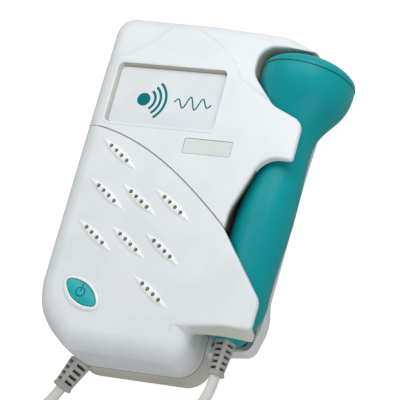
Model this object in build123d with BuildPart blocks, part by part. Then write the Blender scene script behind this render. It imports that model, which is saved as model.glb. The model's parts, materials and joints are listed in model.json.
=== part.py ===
"""Pocket fetal heartbeat monitor: a speaker unit with a side cradle, and a corded probe clipped into it.

The unit lies on its back. +Z points out of its front face, +Y to its head end and +X to the probe side.
The origin is on the back face, midway between the long sides' ends. All sizes are in millimetres.
"""
import os
from math import atan2, cos, degrees, hypot, pi, radians, sin, tan

from build123d import *

os.makedirs("parts", exist_ok=True)

# ---- housing heights ----
SEAM_Z = 12.5  # the rear shell meets the two covers here
FRONT_Z = 34.5  # front face inside the arch
ARCH_DROP = 1.3  # the face outside the arch lies this much lower
FLOOR = 2.0  # back wall of the rear shell
WALL = 2.2  # side walls
CEILING_Z = 31.5  # inside of the front wall
FRONT_ROUND = 7.3  # rounding from the front face into the side walls
BACK_ROUND = 1.6
JOINT_GAP = 0.3  # open line between the two covers
SEAT = 0.3  # gap between a loose piece and what carries it
FIT = 0.05  # running clearance of a pin in its hole, on the radius
SEAM_LINE = 0.4  # shadow groove in the rear shell's top outer edge

# ---- housing outline ----
LEFT_TOP_X = -44.6
LEFT_FOOT_X = -45.6
TOP_Y = 69.0
FOOT_Y = -67.4
BLOCK_RIGHT_X = 18.2
WAIST_Y = -20.0  # the electronics block's right side is straight from here to the foot
TRAY_RIGHT_X = 38.2
TRAY_FOOT_Y = -54.2
HOOD_BEND = (-5.0, TOP_Y)  # the top edge starts to fall here
HOOD_CORNER = (26.5, 66.8)
HOOD_END = (38.2, 61.8)
HEEL_CORNER = (-29.9, FOOT_Y)  # the cut-off corner that the unit's cord leaves
CHEEK_CORNER = (LEFT_FOOT_X, -48.7)
CORNER_R = 9.0
HEEL_R = 9.0
CHEEK_R = 20.0
BEND_R = 150.0
HOOD_R = 12.0
RIM_Z = 8.2  # top of the cradle's open rim
COVER_ROUND = 1.0  # rounding of the covers' free edges

# ---- probe ----
HEAD_X, HEAD_Y, PROBE_Z = 35.1, 53.4, 20.3  # centre of the probe's seam circle
PROBE_LEAN = 3.5  # degrees between the probe and the unit's long side
HEAD_R = 17.9
NECK_R = 9.25
GRIP_R = 10.7
TAIL_R = 5.6
PROBE_LENGTH = 107.0  # from the seam to the tail's end
CAP_HEIGHT = 6.5
PROBE_WALL = 2.0
PROBE_GAP = 0.35  # free space between probe and cradle
PROBE_TRAVEL = 60.0
CRYSTAL_R, CRYSTAL_THICK, CRYSTAL_SPLIT = 10.0, 1.2, 0.6
BACKING_R, BACKING_THICK = 12.0, 4.0
PROBE_BOARD_START, PROBE_BOARD_LENGTH = 32.0, 42.0

# ---- pocket that the probe lies in ----
POCKET_TOP_Y = HEAD_Y + CAP_HEIGHT + 0.5
POCKET_SIDE = [
    (16.7, POCKET_TOP_Y, 7.0),
    (16.7, 44.5, 12.0),
    (22.5, 33.0, 10.0),
    (22.4, 20.0, 40.0),
    (BLOCK_RIGHT_X, WAIST_Y, 40.0),
]
FAR = 80.0  # beyond the object on every side
POCKET = [
    (FAR, POCKET_TOP_Y, 0),
    *POCKET_SIDE,
    (BLOCK_RIGHT_X, -FAR, 0),
    (FAR, -FAR, 0),
]


def filleted_face(corners, mode=Mode.ADD):
    """Fill a closed polygon of (x, y, corner radius) in the sketch that is open."""
    with BuildLine() as border:
        FilletPolyline(*[(x, y) for x, y, _ in corners], radius=[r for _, _, r in corners], close=True)
    make_face(border.edges(), mode=mode)


def shifted(points, distance):
    """Points of an open outline, each moved to the outline's right, square to its neighbours' chord."""
    moved = []
    for i, (x, y) in enumerate(points):
        (x0, y0), (x1, y1) = points[max(i - 1, 0)], points[min(i + 1, len(points) - 1)]
        chord = hypot(x1 - x0, y1 - y0)
        moved.append((x + distance * (y1 - y0) / chord, y - distance * (x1 - x0) / chord))
    return moved


def on_line(a, b, x):
    """Height at x of the line from a to b."""
    return a[1] + (b[1] - a[1]) * (x - a[0]) / (b[0] - a[0])


FOOT_CORNERS = [
    (BLOCK_RIGHT_X, FOOT_Y, CORNER_R),
    (*HEEL_CORNER, HEEL_R),
    (*CHEEK_CORNER, CHEEK_R),
]
TOP_CORNERS = [(LEFT_TOP_X, TOP_Y, CORNER_R), (*HOOD_BEND, BEND_R)]
HOUSING = [
    *TOP_CORNERS,
    (*HOOD_CORNER, HOOD_R),
    (*HOOD_END, 3.0),
    (TRAY_RIGHT_X, TRAY_FOOT_Y, 4.0),
    (BLOCK_RIGHT_X, TRAY_FOOT_Y, 1.5),
    *FOOT_CORNERS,
]
BLOCK = [
    *TOP_CORNERS,
    (POCKET_SIDE[0][0], on_line(HOOD_BEND, HOOD_CORNER, POCKET_SIDE[0][0]), CORNER_R),
    *POCKET_SIDE[1:],
    *FOOT_CORNERS,
]
ENVELOPE = [
    *TOP_CORNERS,
    (*HOOD_CORNER, HOOD_R),
    (FAR, on_line(HOOD_CORNER, HOOD_END, FAR), 0),
    (FAR, FOOT_Y, 0),
    *FOOT_CORNERS[1:],
]

# ---- front plan of the covers: hood, head cut-out, upper finger, waist and lower finger ----
FINGER_FOOT_Y = -54.6
COVER_PLAN = [
    (38.9, FAR, 0),
    (38.9, POCKET_TOP_Y, 1.6),
    (17.6, POCKET_TOP_Y, 6.5),
    (17.6, 48.6, 8.0),
    (29.0, 35.8, 12.0),
    (41.6, 30.7, 5.0),
    (41.3, 14.9, 1.3),
    (30.2, 14.9, 9.0),
    (22.4, -7.5, 15.0),
    (22.2, -14.9, 1.3),
    (42.2, -40.6, 7.0),
    (41.8, FINGER_FOOT_Y, 2.0),
    (-FAR, FINGER_FOOT_Y, 0),
    (-FAR, FAR, 0),
]
BROW_X = 31.0  # the fingers start to droop here
BROW_R = 41.0
FINGER_WALL = 2.2
CHIN_ARC = [(BLOCK_RIGHT_X - 4, 26.0), (27.5, 28.2), (44.0, 25.8)]  # x, z of the lower finger's bottom edge


def envelope(face_z, rounding):
    """Housing without its right side: rounded from the front face into the other side walls."""
    with BuildPart() as body:
        with BuildSketch(Plane.XY.offset(SEAM_Z)):
            filleted_face(ENVELOPE)
        extrude(amount=face_z - SEAM_Z)
        rims = body.faces().sort_by(Axis.Z)[-1].edges()
        fillet(rims.filter_by(lambda e: e.center().X < FAR - 1), rounding)
    return body.part


def foot_block(face_z, rounding):
    """Foot end of the electronics block, rounded on its three free sides."""
    with BuildPart() as body:
        with BuildSketch(Plane.XY.offset(SEAM_Z)):
            filleted_face(BLOCK)
        extrude(amount=face_z - SEAM_Z)
        split(bisect_by=Plane.XZ.offset(-WAIST_Y), keep=Keep.TOP)
        rims = body.faces().sort_by(Axis.Z)[-1].edges()
        fillet(rims.filter_by(lambda e: e.center().Y < WAIST_Y - FIT), rounding)
    return body.part


def finger_form(face_z):
    """The covers' front plan as a solid whose fingers droop at their tips, with its free edges rounded."""
    with BuildPart() as body:
        with BuildSketch(Plane.XY.offset(SEAM_Z)):
            filleted_face(COVER_PLAN)
        extrude(amount=face_z - SEAM_Z)
        brow_z = face_z - BROW_R + (BROW_R**2 - (FAR / 2) ** 2) ** 0.5
        with BuildSketch(Plane.XZ) as brow:
            with BuildLine():
                start = (BROW_X, face_z)
                end_x = BROW_X + FAR / 2
                Polyline(start, (-FAR, face_z), (-FAR, 0), (end_x, 0), (end_x, brow_z))
                RadiusArc((end_x, brow_z), start, -BROW_R)
            make_face()
        extrude(amount=FAR, both=True, mode=Mode.INTERSECT)
        rims = body.edges().filter_by(lambda e: e.center().Z > face_z - 4 and e.center().X > 0)
        rims = rims.filter_by(lambda e: abs(e.center().X - BROW_X) > 0.01 and e.center().Y < FAR - 1)
        fillet(rims, COVER_ROUND)
    return body.part


# ---- arch: the raised part of the front face ----
ARCH = [
    (-FAR, 39.5, 0),
    (-30.0, 52.3, 30.0),
    (-17.0, 67.2, 3.5),
    (0.0, 60.4, 30.0),
    (8.0, 53.8, 12.0),
    (13.2, 45.4, 9.0),
    (27.0, 37.2, 20.0),
    (FAR, 16.0, 0),
    (FAR, -FAR, 0),
    (-FAR, -FAR, 0),
]
ARCH_SLOPE = 40.0  # degrees that the step leans back
ARCH_BASE_Z = FRONT_Z - ARCH_DROP - 0.3

# ---- groove between the covers ----
GROOVE = [(-50.0, 21.4), (-24.1, 16.3), (0.3, 2.7), (22.4, -15.0)]
GROOVE_END = (FAR, -61.0)
TONGUE_REACH = 2.0
TONGUE_THICK = 1.2


def below_groove(grow):
    """Fill everything on the foot side of the groove, grown by a distance, in the sketch that is open."""
    curve = shifted([*GROOVE, GROOVE_END], -grow)
    with BuildSketch(mode=Mode.PRIVATE) as region:
        with BuildLine() as border:
            Spline(*curve[:-1])
            Polyline(*curve[-2:], (FAR, -FAR), (curve[0][0], -FAR), curve[0])
        make_face(border.edges())
    add(region.sketch)


def electronics_hollow():
    """Fill the plan of the space inside the side walls, in the sketch that is open."""
    with BuildSketch(mode=Mode.PRIVATE) as region:
        filleted_face(BLOCK)
        offset(amount=-WALL, mode=Mode.REPLACE)
    add(region.sketch)


def raised_form():
    """The covers' form inside the arch, where the front face stands highest."""
    with BuildPart() as body:
        with BuildSketch(Plane.XY.offset(SEAM_Z)):
            filleted_face(ARCH)
        extrude(amount=ARCH_BASE_Z - SEAM_Z)
        with BuildSketch(Plane.XY.offset(FRONT_Z)):
            filleted_face(ARCH)
        extrude(amount=ARCH_BASE_Z - FRONT_Z, taper=-ARCH_SLOPE)
        add(finger_form(FRONT_Z), mode=Mode.INTERSECT)
        add(envelope(FRONT_Z, FRONT_ROUND), mode=Mode.INTERSECT)
    return body.part


def electronics_space():
    """The space inside the side walls, above the seam."""
    with BuildPart() as space:
        with BuildSketch(Plane.XY.offset(SEAM_Z)):
            electronics_hollow()
        extrude(amount=CEILING_Z - SEAM_Z)
        fillet(space.faces().sort_by(Axis.Z)[-1].edges(), FRONT_ROUND - WALL)
    return space.part


def pocket_space():
    """The space that the probe lies in, above the seam, ending at the lower finger's end wall."""
    with BuildPart() as space:
        with BuildSketch(Plane.XY.offset(SEAM_Z)):
            filleted_face(POCKET)
        extrude(amount=CEILING_Z - SEAM_Z)
        with BuildSketch(Plane.XZ.offset(-FINGER_FOOT_Y - FINGER_WALL)):
            with BuildLine():
                ThreePointArc(*CHIN_ARC)
                Polyline(CHIN_ARC[-1], (FAR, CHIN_ARC[-1][1]), (FAR, FAR), (CHIN_ARC[0][0], FAR), CHIN_ARC[0])
            make_face()
        extrude(amount=FAR, mode=Mode.SUBTRACT)
    return space.part


def tongue():
    """Strip inside the front wall that bridges the groove between the covers."""
    with BuildSketch(mode=Mode.PRIVATE) as beyond:
        below_groove(-TONGUE_REACH)
    with BuildPart() as bridge:
        with BuildSketch(Plane.XY.offset(CEILING_Z - TONGUE_THICK)):
            below_groove(TONGUE_REACH)
            add(beyond.sketch, mode=Mode.SUBTRACT)
        extrude(amount=TONGUE_THICK)
        add(electronics_space(), mode=Mode.INTERSECT)
    return bridge.part


def both_covers():
    """The two front covers in one, hollow and open at the back."""
    low_z = FRONT_Z - ARCH_DROP
    with BuildPart() as body:
        add(finger_form(low_z))
        add(envelope(low_z, FRONT_ROUND - ARCH_DROP), mode=Mode.INTERSECT)
        add(raised_form())
        add(foot_block(FRONT_Z, FRONT_ROUND))
        add(electronics_space(), mode=Mode.SUBTRACT)
        add(pocket_space(), mode=Mode.SUBTRACT)
    return body.part


# ---- window, name plate, sound slots and button on the front face ----
WINDOW_X, WINDOW_Y = -14.65, 34.6  # centre
WINDOW_W, WINDOW_H, WINDOW_R = 45.3, 23.3, 2.2
WINDOW_DEPTH = 2.6
WINDOW_THICK = 0.6
WINDOW_DRAFT = 18.0  # degrees that the walls of the window's recess lean out
WINDOW_BACKING = 1.2  # pad behind the recess, where the front wall is thin
PLATE_X, PLATE_Y = 7.7, 16.1
PLATE_W, PLATE_H = 19.6, 6.4
PLATE_DEPTH = 0.6
PLATE_THICK = 0.4
PLATE_GAP = 0.22
PLATE_R = 0.6
SLOT_ANGLE = -34.7
SLOT_LENGTH, SLOT_WIDTH = 19.7, 3.3
SLOT_RISE = 0.6
SLOT_HOLES = 4
SLOT_HOLE_R = 0.85
SLOT_PITCH = 3.2
SLOT_SPOTS = [
    (-26.8, 10.1),
    (-27.4, -6.6),
    (-13.7, -7.6),
    (0.2, -8.3),
    (-27.5, -23.7),
    (-13.4, -24.9),
    (0.7, -26.0),
    (0.7, -43.1),
]
BUTTON_X, BUTTON_Y, BUTTON_ANGLE = -26.2, -46.8, -32.8
BUTTON_LENGTH, BUTTON_WIDTH = 18.8, 9.1
BUTTON_TIP_R = 2.0
BUTTON_GAP = 0.25
BUTTON_RISE = 1.3
BUTTON_TRAVEL = 0.8
BUTTON_ROUND = 0.8
RIM_WIDTH = 1.1
RIM_RISE = 0.5
RIM_TAPER = 30.0  # degrees that the flanks of the rim and of the ribs lean in
SUNK = 0.1  # depth below the face at which the rim and the ribs start

# ---- screws ----
BOSS_R = 3.3
SCREW_R = 1.45
SCREW_HEAD_R = 2.8
SCREW_HEAD_HEIGHT = 2.0
SCREW_SINK = 3.0  # depth of the head's recess
SCREW_LENGTH = 17.0
SCREW_PLAY = 0.2  # a screw's free space in its through hole and its recess
UPPER_BOSSES = [(-37.5, 61.5), (8.5, 61.0), (13.5, 27.0)]
LOWER_BOSSES = [(-39.4, 8.0), (-10.5, -61.5), (11.5, -60.5)]

# ---- speaker ----
SPEAKER_X, SPEAKER_Y = -14.5, -18.0
SPEAKER_R = 22.5
GASKET_THICK = 0.6
FLANGE_THICK = 1.2
FLANGE_Z = CEILING_Z - GASKET_THICK - FLANGE_THICK
SMALL_BOSS_R = 2.2
SMALL_SCREW_R = 0.95
SMALL_BORE_R = SMALL_SCREW_R + FIT
SMALL_HEAD_R = 1.9
SMALL_HEAD_HEIGHT = 1.3
SMALL_SCREW_DEPTH = 2.6
SMALL_SCREW_LENGTH = 3.8
SPEAKER_HEAD_R = 3.2
SPEAKER_SCREW_LENGTH = 1.8
SPEAKER_BORE_DEPTH = SPEAKER_SCREW_LENGTH + 0.4
SPEAKER_BOSS_RADIUS = SPEAKER_R + SMALL_BOSS_R + SCREW_PLAY

# ---- controls in the top wall ----
JACK_X, JACK_Z = -9.0, 23.4
JACK_BORE_R = 1.8
JACK_COLLAR_R = 3.0
JACK_BODY = (8.0, 12.0, 6.0)
JACK_DEPTH = 13.5
JACK_STAND = 0.3  # the collar stands out of the wall by this much
JACK_PLAY = 0.2
WHEEL_X, WHEEL_Y = -22.0, 61.0
WHEEL_R = 9.0
WHEEL_THICK = 3.0
WHEEL_SHAFT_R = 1.5
WHEEL_NOTCHES = 30
WHEEL_NOTCH_R = 0.45
WHEEL_PLAY = 0.6
POT_SIDE = 9.0
BOARD_THICK = 1.6
CONTROL_BOARD_Z = JACK_Z + JACK_BODY[2] / 2
CONTROL_BOARD = [(-33.0, 47.5, 1.0), (-1.0, 47.5, 1.0), (-1.0, 66.0, 1.0), (-33.0, 66.0, 1.0)]
CONTROL_POSTS = [(-30.0, 50.5), (-4.0, 50.5)]
POT_THICK = 1.5
WHEEL_TOP_Z = CONTROL_BOARD_Z - POT_THICK - SEAT / 2
WHEEL_Z = WHEEL_TOP_Z - WHEEL_THICK / 2

# ---- key board under the button ----
KEY_BOARD_Z = 23.4
KEY_BOARD_LENGTH, KEY_BOARD_WIDTH = 32.0, 8.0
KEY_POST_OUT = 13.2
SWITCH_SIDE, SWITCH_HEIGHT = 6.0, 3.4
PLUNGER_R = 1.6
PLUNGER_SPARE = 0.5  # what is left under the plunger when the button is pressed
FLANGE_GROW = 1.4  # retaining lip of the button
BUTTON_FOOT_Z = CEILING_Z - 2.0
BUTTON_LIP_THICK = 1.3

# ---- unit's cord entry, on the cut-off corner ----
CORD_R = 2.0
ENTRY_LEAN = degrees(atan2(CHEEK_CORNER[1] - HEEL_CORNER[1], HEEL_CORNER[0] - CHEEK_CORNER[0])) / 2
ENTRY_AXIS = Vector(-sin(radians(ENTRY_LEAN)), -cos(radians(ENTRY_LEAN)), 0)
ENTRY_INSET = HEEL_R * (1 / cos(radians(ENTRY_LEAN)) - 1)
ENTRY = Vector(*HEEL_CORNER, SEAM_Z) - ENTRY_AXIS * ENTRY_INSET
ENTRY_PLANE = Plane(origin=ENTRY, x_dir=(0, 0, 1), z_dir=ENTRY_AXIS)
BOOT_NECK_R = 3.6
BOOT_FLANGE_R = 4.6
BOOT_FLANGE_THICK = 1.5
BOOT_ROUND = 0.22  # corner radius of a boot's section, as a share of its side
BOOT_COLLAR = 1.4
BOOT_COLLAR_GROW = 0.6
BOOT_SLOT = 1.0
BOOT_CORE = 2.4  # half the width that the slots leave
UNIT_BOOT_LENGTH, UNIT_BOOT_ROOT, UNIT_BOOT_TIP, UNIT_BOOT_SLOTS = 12.2, 9.0, 7.0, 4
PROBE_BOOT_LENGTH, PROBE_BOOT_ROOT, PROBE_BOOT_TIP, PROBE_BOOT_SLOTS = 13.7, 9.0, 6.2, 5


def leaf_face(length, width, tip_r=0.0):
    """Fill a pointed leaf, long along X, in the sketch that is open."""
    with BuildSketch(mode=Mode.PRIVATE) as leaf:
        with BuildLine() as border:
            ThreePointArc((-length / 2, 0), (0, -width / 2), (length / 2, 0))
            ThreePointArc((length / 2, 0), (0, width / 2), (-length / 2, 0))
        make_face(border.edges())
        if tip_r:
            fillet(leaf.vertices(), tip_r)
    add(leaf.sketch)


def button_plane(z):
    """Plane of the power button's leaf at a height."""
    return Plane(origin=(BUTTON_X, BUTTON_Y, z), x_dir=Vector(1, 0, 0).rotate(Axis.Z, BUTTON_ANGLE))


WINDOW_SLANT = WINDOW_DEPTH * tan(radians(WINDOW_DRAFT))


def window_face(inset):
    """Fill the outline of the recess's floor, made smaller on every side, in the sketch that is open."""
    inset += WINDOW_SLANT
    with Locations((WINDOW_X, WINDOW_Y)):
        RectangleRounded(WINDOW_W - 2 * inset, WINDOW_H - 2 * inset, WINDOW_R - inset)


def cover_openings():
    """Everything that is cut from either cover, as one tool."""
    with BuildPart() as tool:
        with BuildSketch(Plane.XY.offset(FRONT_Z - WINDOW_DEPTH)):
            window_face(0)
        extrude(amount=WINDOW_DEPTH, taper=-WINDOW_DRAFT)
        with BuildSketch(Plane.XY.offset(FRONT_Z)):
            window_face(-WINDOW_SLANT)
        extrude(amount=WALL)
        with BuildSketch(Plane.XY.offset(FRONT_Z - PLATE_DEPTH)):
            with Locations((PLATE_X, PLATE_Y)):
                RectangleRounded(PLATE_W, PLATE_H, PLATE_R)
        extrude(amount=WALL)
        with BuildSketch(button_plane(CEILING_Z - 1)):
            leaf_face(BUTTON_LENGTH + 2 * BUTTON_GAP, BUTTON_WIDTH + 2 * BUTTON_GAP, BUTTON_TIP_R)
        extrude(amount=FRONT_Z - CEILING_Z + 3)
        with BuildSketch(Plane.XY.offset(CEILING_Z - 1)):
            for x, y in SLOT_SPOTS:
                with Locations(Location((x, y, 0), (0, 0, SLOT_ANGLE))):
                    with GridLocations(SLOT_PITCH, 1, SLOT_HOLES, 1):
                        Circle(SLOT_HOLE_R)
        extrude(amount=FRONT_Z - CEILING_Z + 3)
        with BuildSketch(Plane.XZ.offset(-TOP_Y - 1)):
            with Locations((JACK_X, JACK_Z)):
                Circle(JACK_COLLAR_R + JACK_PLAY)
            with Locations((WHEEL_X, WHEEL_Z)):
                half_slot = (WHEEL_R**2 - (TOP_Y - WALL - WHEEL_Y) ** 2) ** 0.5 + WHEEL_PLAY
                Rectangle(2 * half_slot, WHEEL_THICK + 2 * SEAT)
        extrude(amount=2 * WALL)
        with BuildSketch(ENTRY_PLANE.offset(-2 * WALL)):
            Circle(BOOT_NECK_R)
        extrude(amount=4 * WALL)
    return tool.part


def post(x, y, foot_z, top_z, radius, bore_r, bore_depth):
    """A screw post from foot_z up to top_z, bored from its foot, added to the part that is open."""
    with BuildSketch(Plane.XY.offset(foot_z)) as outer:
        with Locations((x, y)):
            Circle(radius)
    extrude(outer.sketch, amount=top_z - foot_z)
    with BuildSketch(Plane.XY.offset(foot_z)) as bore:
        with Locations((x, y)):
            Circle(bore_r)
    extrude(bore.sketch, amount=bore_depth, mode=Mode.SUBTRACT)


def polar_spot(x, y, out, angle):
    """Point at a distance and an angle from (x, y)."""
    return x + out * cos(radians(angle)), y + out * sin(radians(angle))


# ---- probe: its own plane has X up, Y towards the tail and Z in the direction that it is pulled out ----
LEAN = radians(PROBE_LEAN)
PROBE_PLANE = Plane(origin=(HEAD_X, HEAD_Y, PROBE_Z), x_dir=(0, 0, 1), z_dir=(cos(LEAN), -sin(LEAN), 0))
PROBE_AXIS = Axis(PROBE_PLANE.origin, PROBE_PLANE.y_dir)
PROBE_SIDE = [  # radius, distance from the seam
    (HEAD_R - 0.1, 4.4),
    (16.1, 10.4),
    (12.8, 16.2),
    (9.9, 22.5),
    (NECK_R, 33.2),
    (10.1, 45.3),
    (GRIP_R, 60.0),
    (GRIP_R - 0.1, 86.0),
    (9.4, 98.6),
    (7.6, 103.5),
]
CAP_SIDE = [(HEAD_R - 0.8, -2.4), (12.5, -5.2)]
SEAL_THICK = 0.5
SEAL_INSET = 0.2
LIP_R = 15.6  # the cap's lip stands inside the body's mouth
LIP_WALL = 1.5
LIP_LENGTH = 3.2
CAP_FLOOR = 3.9  # thickness of the cap at its middle


def probe_silhouette(grow):
    """Fill the probe's outline, grown by a distance, in the sketch that is open."""
    outline = [*reversed(CAP_SIDE), (HEAD_R, 0), *PROBE_SIDE]
    around = shifted([(0, -CAP_HEIGHT), *outline, (TAIL_R, PROBE_LENGTH)], grow)
    seam = len(CAP_SIDE) + 1
    nose = (0, -CAP_HEIGHT - grow)
    tail = (TAIL_R + grow, PROBE_LENGTH + grow)
    with BuildSketch(mode=Mode.PRIVATE) as shape:
        with BuildLine() as border:
            Spline(nose, *around[1 : seam + 1], tangents=[(1, 0), (0, 1)])
            Spline(*around[seam:-1], tail, tangents=[(0, 1), (-1, 1.2)])
            Line(tail, (0, tail[1]))
            mirror(about=Plane.YZ)
        make_face(border.edges())
    add(shape.sketch)


def half_plane(start, end):
    """Keep what lies on the +X side between two heights, in the sketch that is open."""
    with Locations((FAR / 2, (start + end) / 2)):
        Rectangle(FAR, end - start, mode=Mode.INTERSECT)


def probe_way(grow):
    """Space that the probe, grown by a distance, fills at rest and while it is pulled out."""
    with BuildPart() as way:
        with BuildSketch(PROBE_PLANE):
            probe_silhouette(grow)
            half_plane(-FAR, 2 * FAR)
        revolve(axis=PROBE_AXIS, revolution_arc=180)
        with BuildSketch(PROBE_PLANE):
            probe_silhouette(grow)
        extrude(amount=PROBE_TRAVEL)
    return way.part


KEY_POSTS = [polar_spot(BUTTON_X, BUTTON_Y, side * KEY_POST_OUT, BUTTON_ANGLE) for side in (-1, 1)]
SPEAKER_BOSSES = [polar_spot(SPEAKER_X, SPEAKER_Y, SPEAKER_BOSS_RADIUS, a) for a in (125, 205, 285, 350)]

covers = both_covers()
openings = cover_openings()
seam_pilot = SCREW_LENGTH - (SEAM_Z - SCREW_SINK) + 1

with BuildPart() as front_cover_upper:
    add(covers)
    with BuildSketch(Plane.XY.offset(SEAM_Z - 1)):
        below_groove(JOINT_GAP)
    extrude(amount=FRONT_Z, mode=Mode.SUBTRACT)
    for spot in UPPER_BOSSES:
        post(*spot, SEAM_Z, CEILING_Z, BOSS_R, SCREW_R + FIT, seam_pilot)
    for spot in CONTROL_POSTS:
        post(*spot, CONTROL_BOARD_Z + BOARD_THICK, CEILING_Z, SMALL_BOSS_R, SMALL_BORE_R, SMALL_SCREW_DEPTH)
    with BuildSketch(Plane.XY.offset(CEILING_Z - WINDOW_BACKING)):
        window_face(0)
    extrude(amount=WINDOW_BACKING)
    add(openings, mode=Mode.SUBTRACT)
front_cover_upper.part.label = "front_cover_upper"

with BuildPart() as front_cover_lower:
    with BuildSketch(Plane.XY.offset(SEAM_Z - 1)):
        below_groove(0)
    extrude(amount=FRONT_Z)
    add(covers, mode=Mode.INTERSECT)
    add(tongue())
    add(probe_way(PROBE_GAP), mode=Mode.SUBTRACT)
    for spot in LOWER_BOSSES:
        post(*spot, SEAM_Z, CEILING_Z, BOSS_R, SCREW_R + FIT, seam_pilot)
    for spot in KEY_POSTS:
        post(*spot, KEY_BOARD_Z + BOARD_THICK, CEILING_Z, SMALL_BOSS_R, SMALL_BORE_R, SMALL_SCREW_DEPTH)
    for spot in SPEAKER_BOSSES:
        post(*spot, FLANGE_Z, CEILING_Z, SMALL_BOSS_R, SMALL_BORE_R, SPEAKER_BORE_DEPTH)
    with BuildSketch(Plane.XY.offset(FRONT_Z - SUNK)):
        for x, y in SLOT_SPOTS:
            with Locations(Location((x, y, 0), (0, 0, SLOT_ANGLE))):
                leaf_face(SLOT_LENGTH, SLOT_WIDTH)
    extrude(amount=SLOT_RISE + SUNK, taper=RIM_TAPER)
    with BuildSketch(button_plane(FRONT_Z - SUNK)):
        leaf_face(BUTTON_LENGTH + 2 * RIM_WIDTH, BUTTON_WIDTH + 2 * RIM_WIDTH, BUTTON_TIP_R + RIM_WIDTH)
    extrude(amount=RIM_RISE + SUNK, taper=RIM_TAPER)
    add(openings, mode=Mode.SUBTRACT)
front_cover_lower.part.label = "front_cover_lower"


# ---- window panel and name plate, each lying on the floor of its recess ----
with BuildPart() as window_panel:
    with BuildSketch(Plane.XY.offset(FRONT_Z - WINDOW_DEPTH)):
        window_face(FIT)
    extrude(amount=WINDOW_THICK)
window_panel.part.label = "window_panel"

with BuildPart() as name_plate:
    with BuildSketch(Plane.XY.offset(FRONT_Z - PLATE_DEPTH)):
        with Locations((PLATE_X, PLATE_Y)):
            RectangleRounded(PLATE_W - 2 * PLATE_GAP, PLATE_H - 2 * PLATE_GAP, PLATE_R - PLATE_GAP)
    extrude(amount=PLATE_THICK)
name_plate.part.label = "name_plate"

# ---- battery bay ----
BAY_X = -17.5
BAY_TOP_Y = TOP_Y - WALL - 4.6
CELL_R, CELL_LENGTH = 7.25, 50.5
CELL_GAP = 0.3
NUB_R, NUB_LENGTH = 2.7, 1.0
HOLDER_WALL = 1.2
SPRING_SPACE = 4.2
SPRING_WIRE_R = 0.35
SPRING_TURNS = 3
SPRING_SEAT = 0.1
CONTACT_THICK = 0.4
CONTACT_HALF_W = 5.0
DOOR_HALF_W = 15.0
DOOR_GAP = 0.2
DOOR_LIP = 1.4  # the door's inner flange reaches this far over the floor's edges
DOOR_LIP_THICK = 1.0
GRIP_GROOVES = 5
GRIP_PITCH = 2.4
GRIP_LENGTH, GRIP_WIDTH, GRIP_DEPTH = 14.0, 1.2, 0.7
GRIP_FROM_END = 14.0  # from the door's free end to the middle groove
RAIL_W = 1.5
RAIL_TOP_Z = FLOOR + 2 * DOOR_GAP + DOOR_LIP_THICK
RAIL_OUT = DOOR_HALF_W + DOOR_LIP + DOOR_GAP  # inner face of a rail, from the bay's middle
HOLDER_HALF_W = 2 * CELL_R + 1.5 * CELL_GAP + HOLDER_WALL
HOLDER_LENGTH = CELL_LENGTH + SPRING_SPACE + 2 * (CONTACT_THICK + HOLDER_WALL) + CELL_GAP
HOLDER_FOOT_LENGTH = 50.0
HOLDER_FOOT_THICK = 1.0
BAY_FOOT_Y = BAY_TOP_Y - HOLDER_LENGTH
CELL_Z = RAIL_TOP_Z + CELL_GAP + CELL_R
HOLDER_TOP_Z = CELL_Z + CELL_R + CELL_GAP + HOLDER_WALL
DOOR_FOOT_Y = BAY_FOOT_Y - DOOR_LIP_THICK

# ---- main board ----
MAIN_BOARD_Z = 5.0
BOARD_TOP_Y = BAY_FOOT_Y - 4.0
MAIN_BOARD = [
    (-41.0, BOARD_TOP_Y, 1.0),
    (14.0, BOARD_TOP_Y, 1.0),
    (14.0, -56.0, 1.0),
    (-31.0, -56.0, 1.0),
    (-41.0, -42.0, 1.0),
]
BOARD_POSTS = [(-37.0, BOARD_TOP_Y - 5.0), (10.0, BOARD_TOP_Y - 5.0), (10.0, -51.0), (-28.0, -51.0)]
BOARD_POST_R = 2.8
BOARD_HOLE_R = SMALL_SCREW_R + SCREW_PLAY

# ---- cradle saddle ----
SADDLE_FOOT_Y, SADDLE_TOP_Y = -44.0, 30.0
SADDLE_THICK = 1.8
SADDLE_TOP_Z = 14.0
SADDLE_RIBS = 3


def strip(x, half_width, foot_y, top_y):
    """Fill a strip along Y in the sketch that is open."""
    with Locations((x, (foot_y + top_y) / 2)):
        Rectangle(2 * half_width, top_y - foot_y)


def revolved(plane, outline):
    """Solid made by turning a closed outline of (radius, height) about a plane's Y axis."""
    with BuildPart() as body:
        with BuildSketch(plane):
            with BuildLine():
                Polyline(*outline, close=True)
            make_face()
        revolve(axis=Axis(plane.origin, plane.y_dir))
    return body.part


def screw(plane, head_r, head_height, shank_r, length):
    """A screw whose head stands on a plane, with its shank reaching behind the plane."""
    with BuildPart() as body:
        with BuildSketch(plane):
            Circle(head_r)
        extrude(amount=head_height)
        with BuildSketch(plane):
            Circle(shank_r)
        extrude(amount=-length)
    return body.part


rear_screw_spots = [(x, y, 0) for x, y in UPPER_BOSSES + LOWER_BOSSES]
UPWARD = (Align.CENTER, Align.CENTER, Align.MIN)
DOWNWARD = (Align.CENTER, Align.CENTER, Align.MAX)

with BuildSketch() as seam_core:
    filleted_face(HOUSING)
    offset(amount=-SEAM_LINE, mode=Mode.REPLACE)

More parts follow.
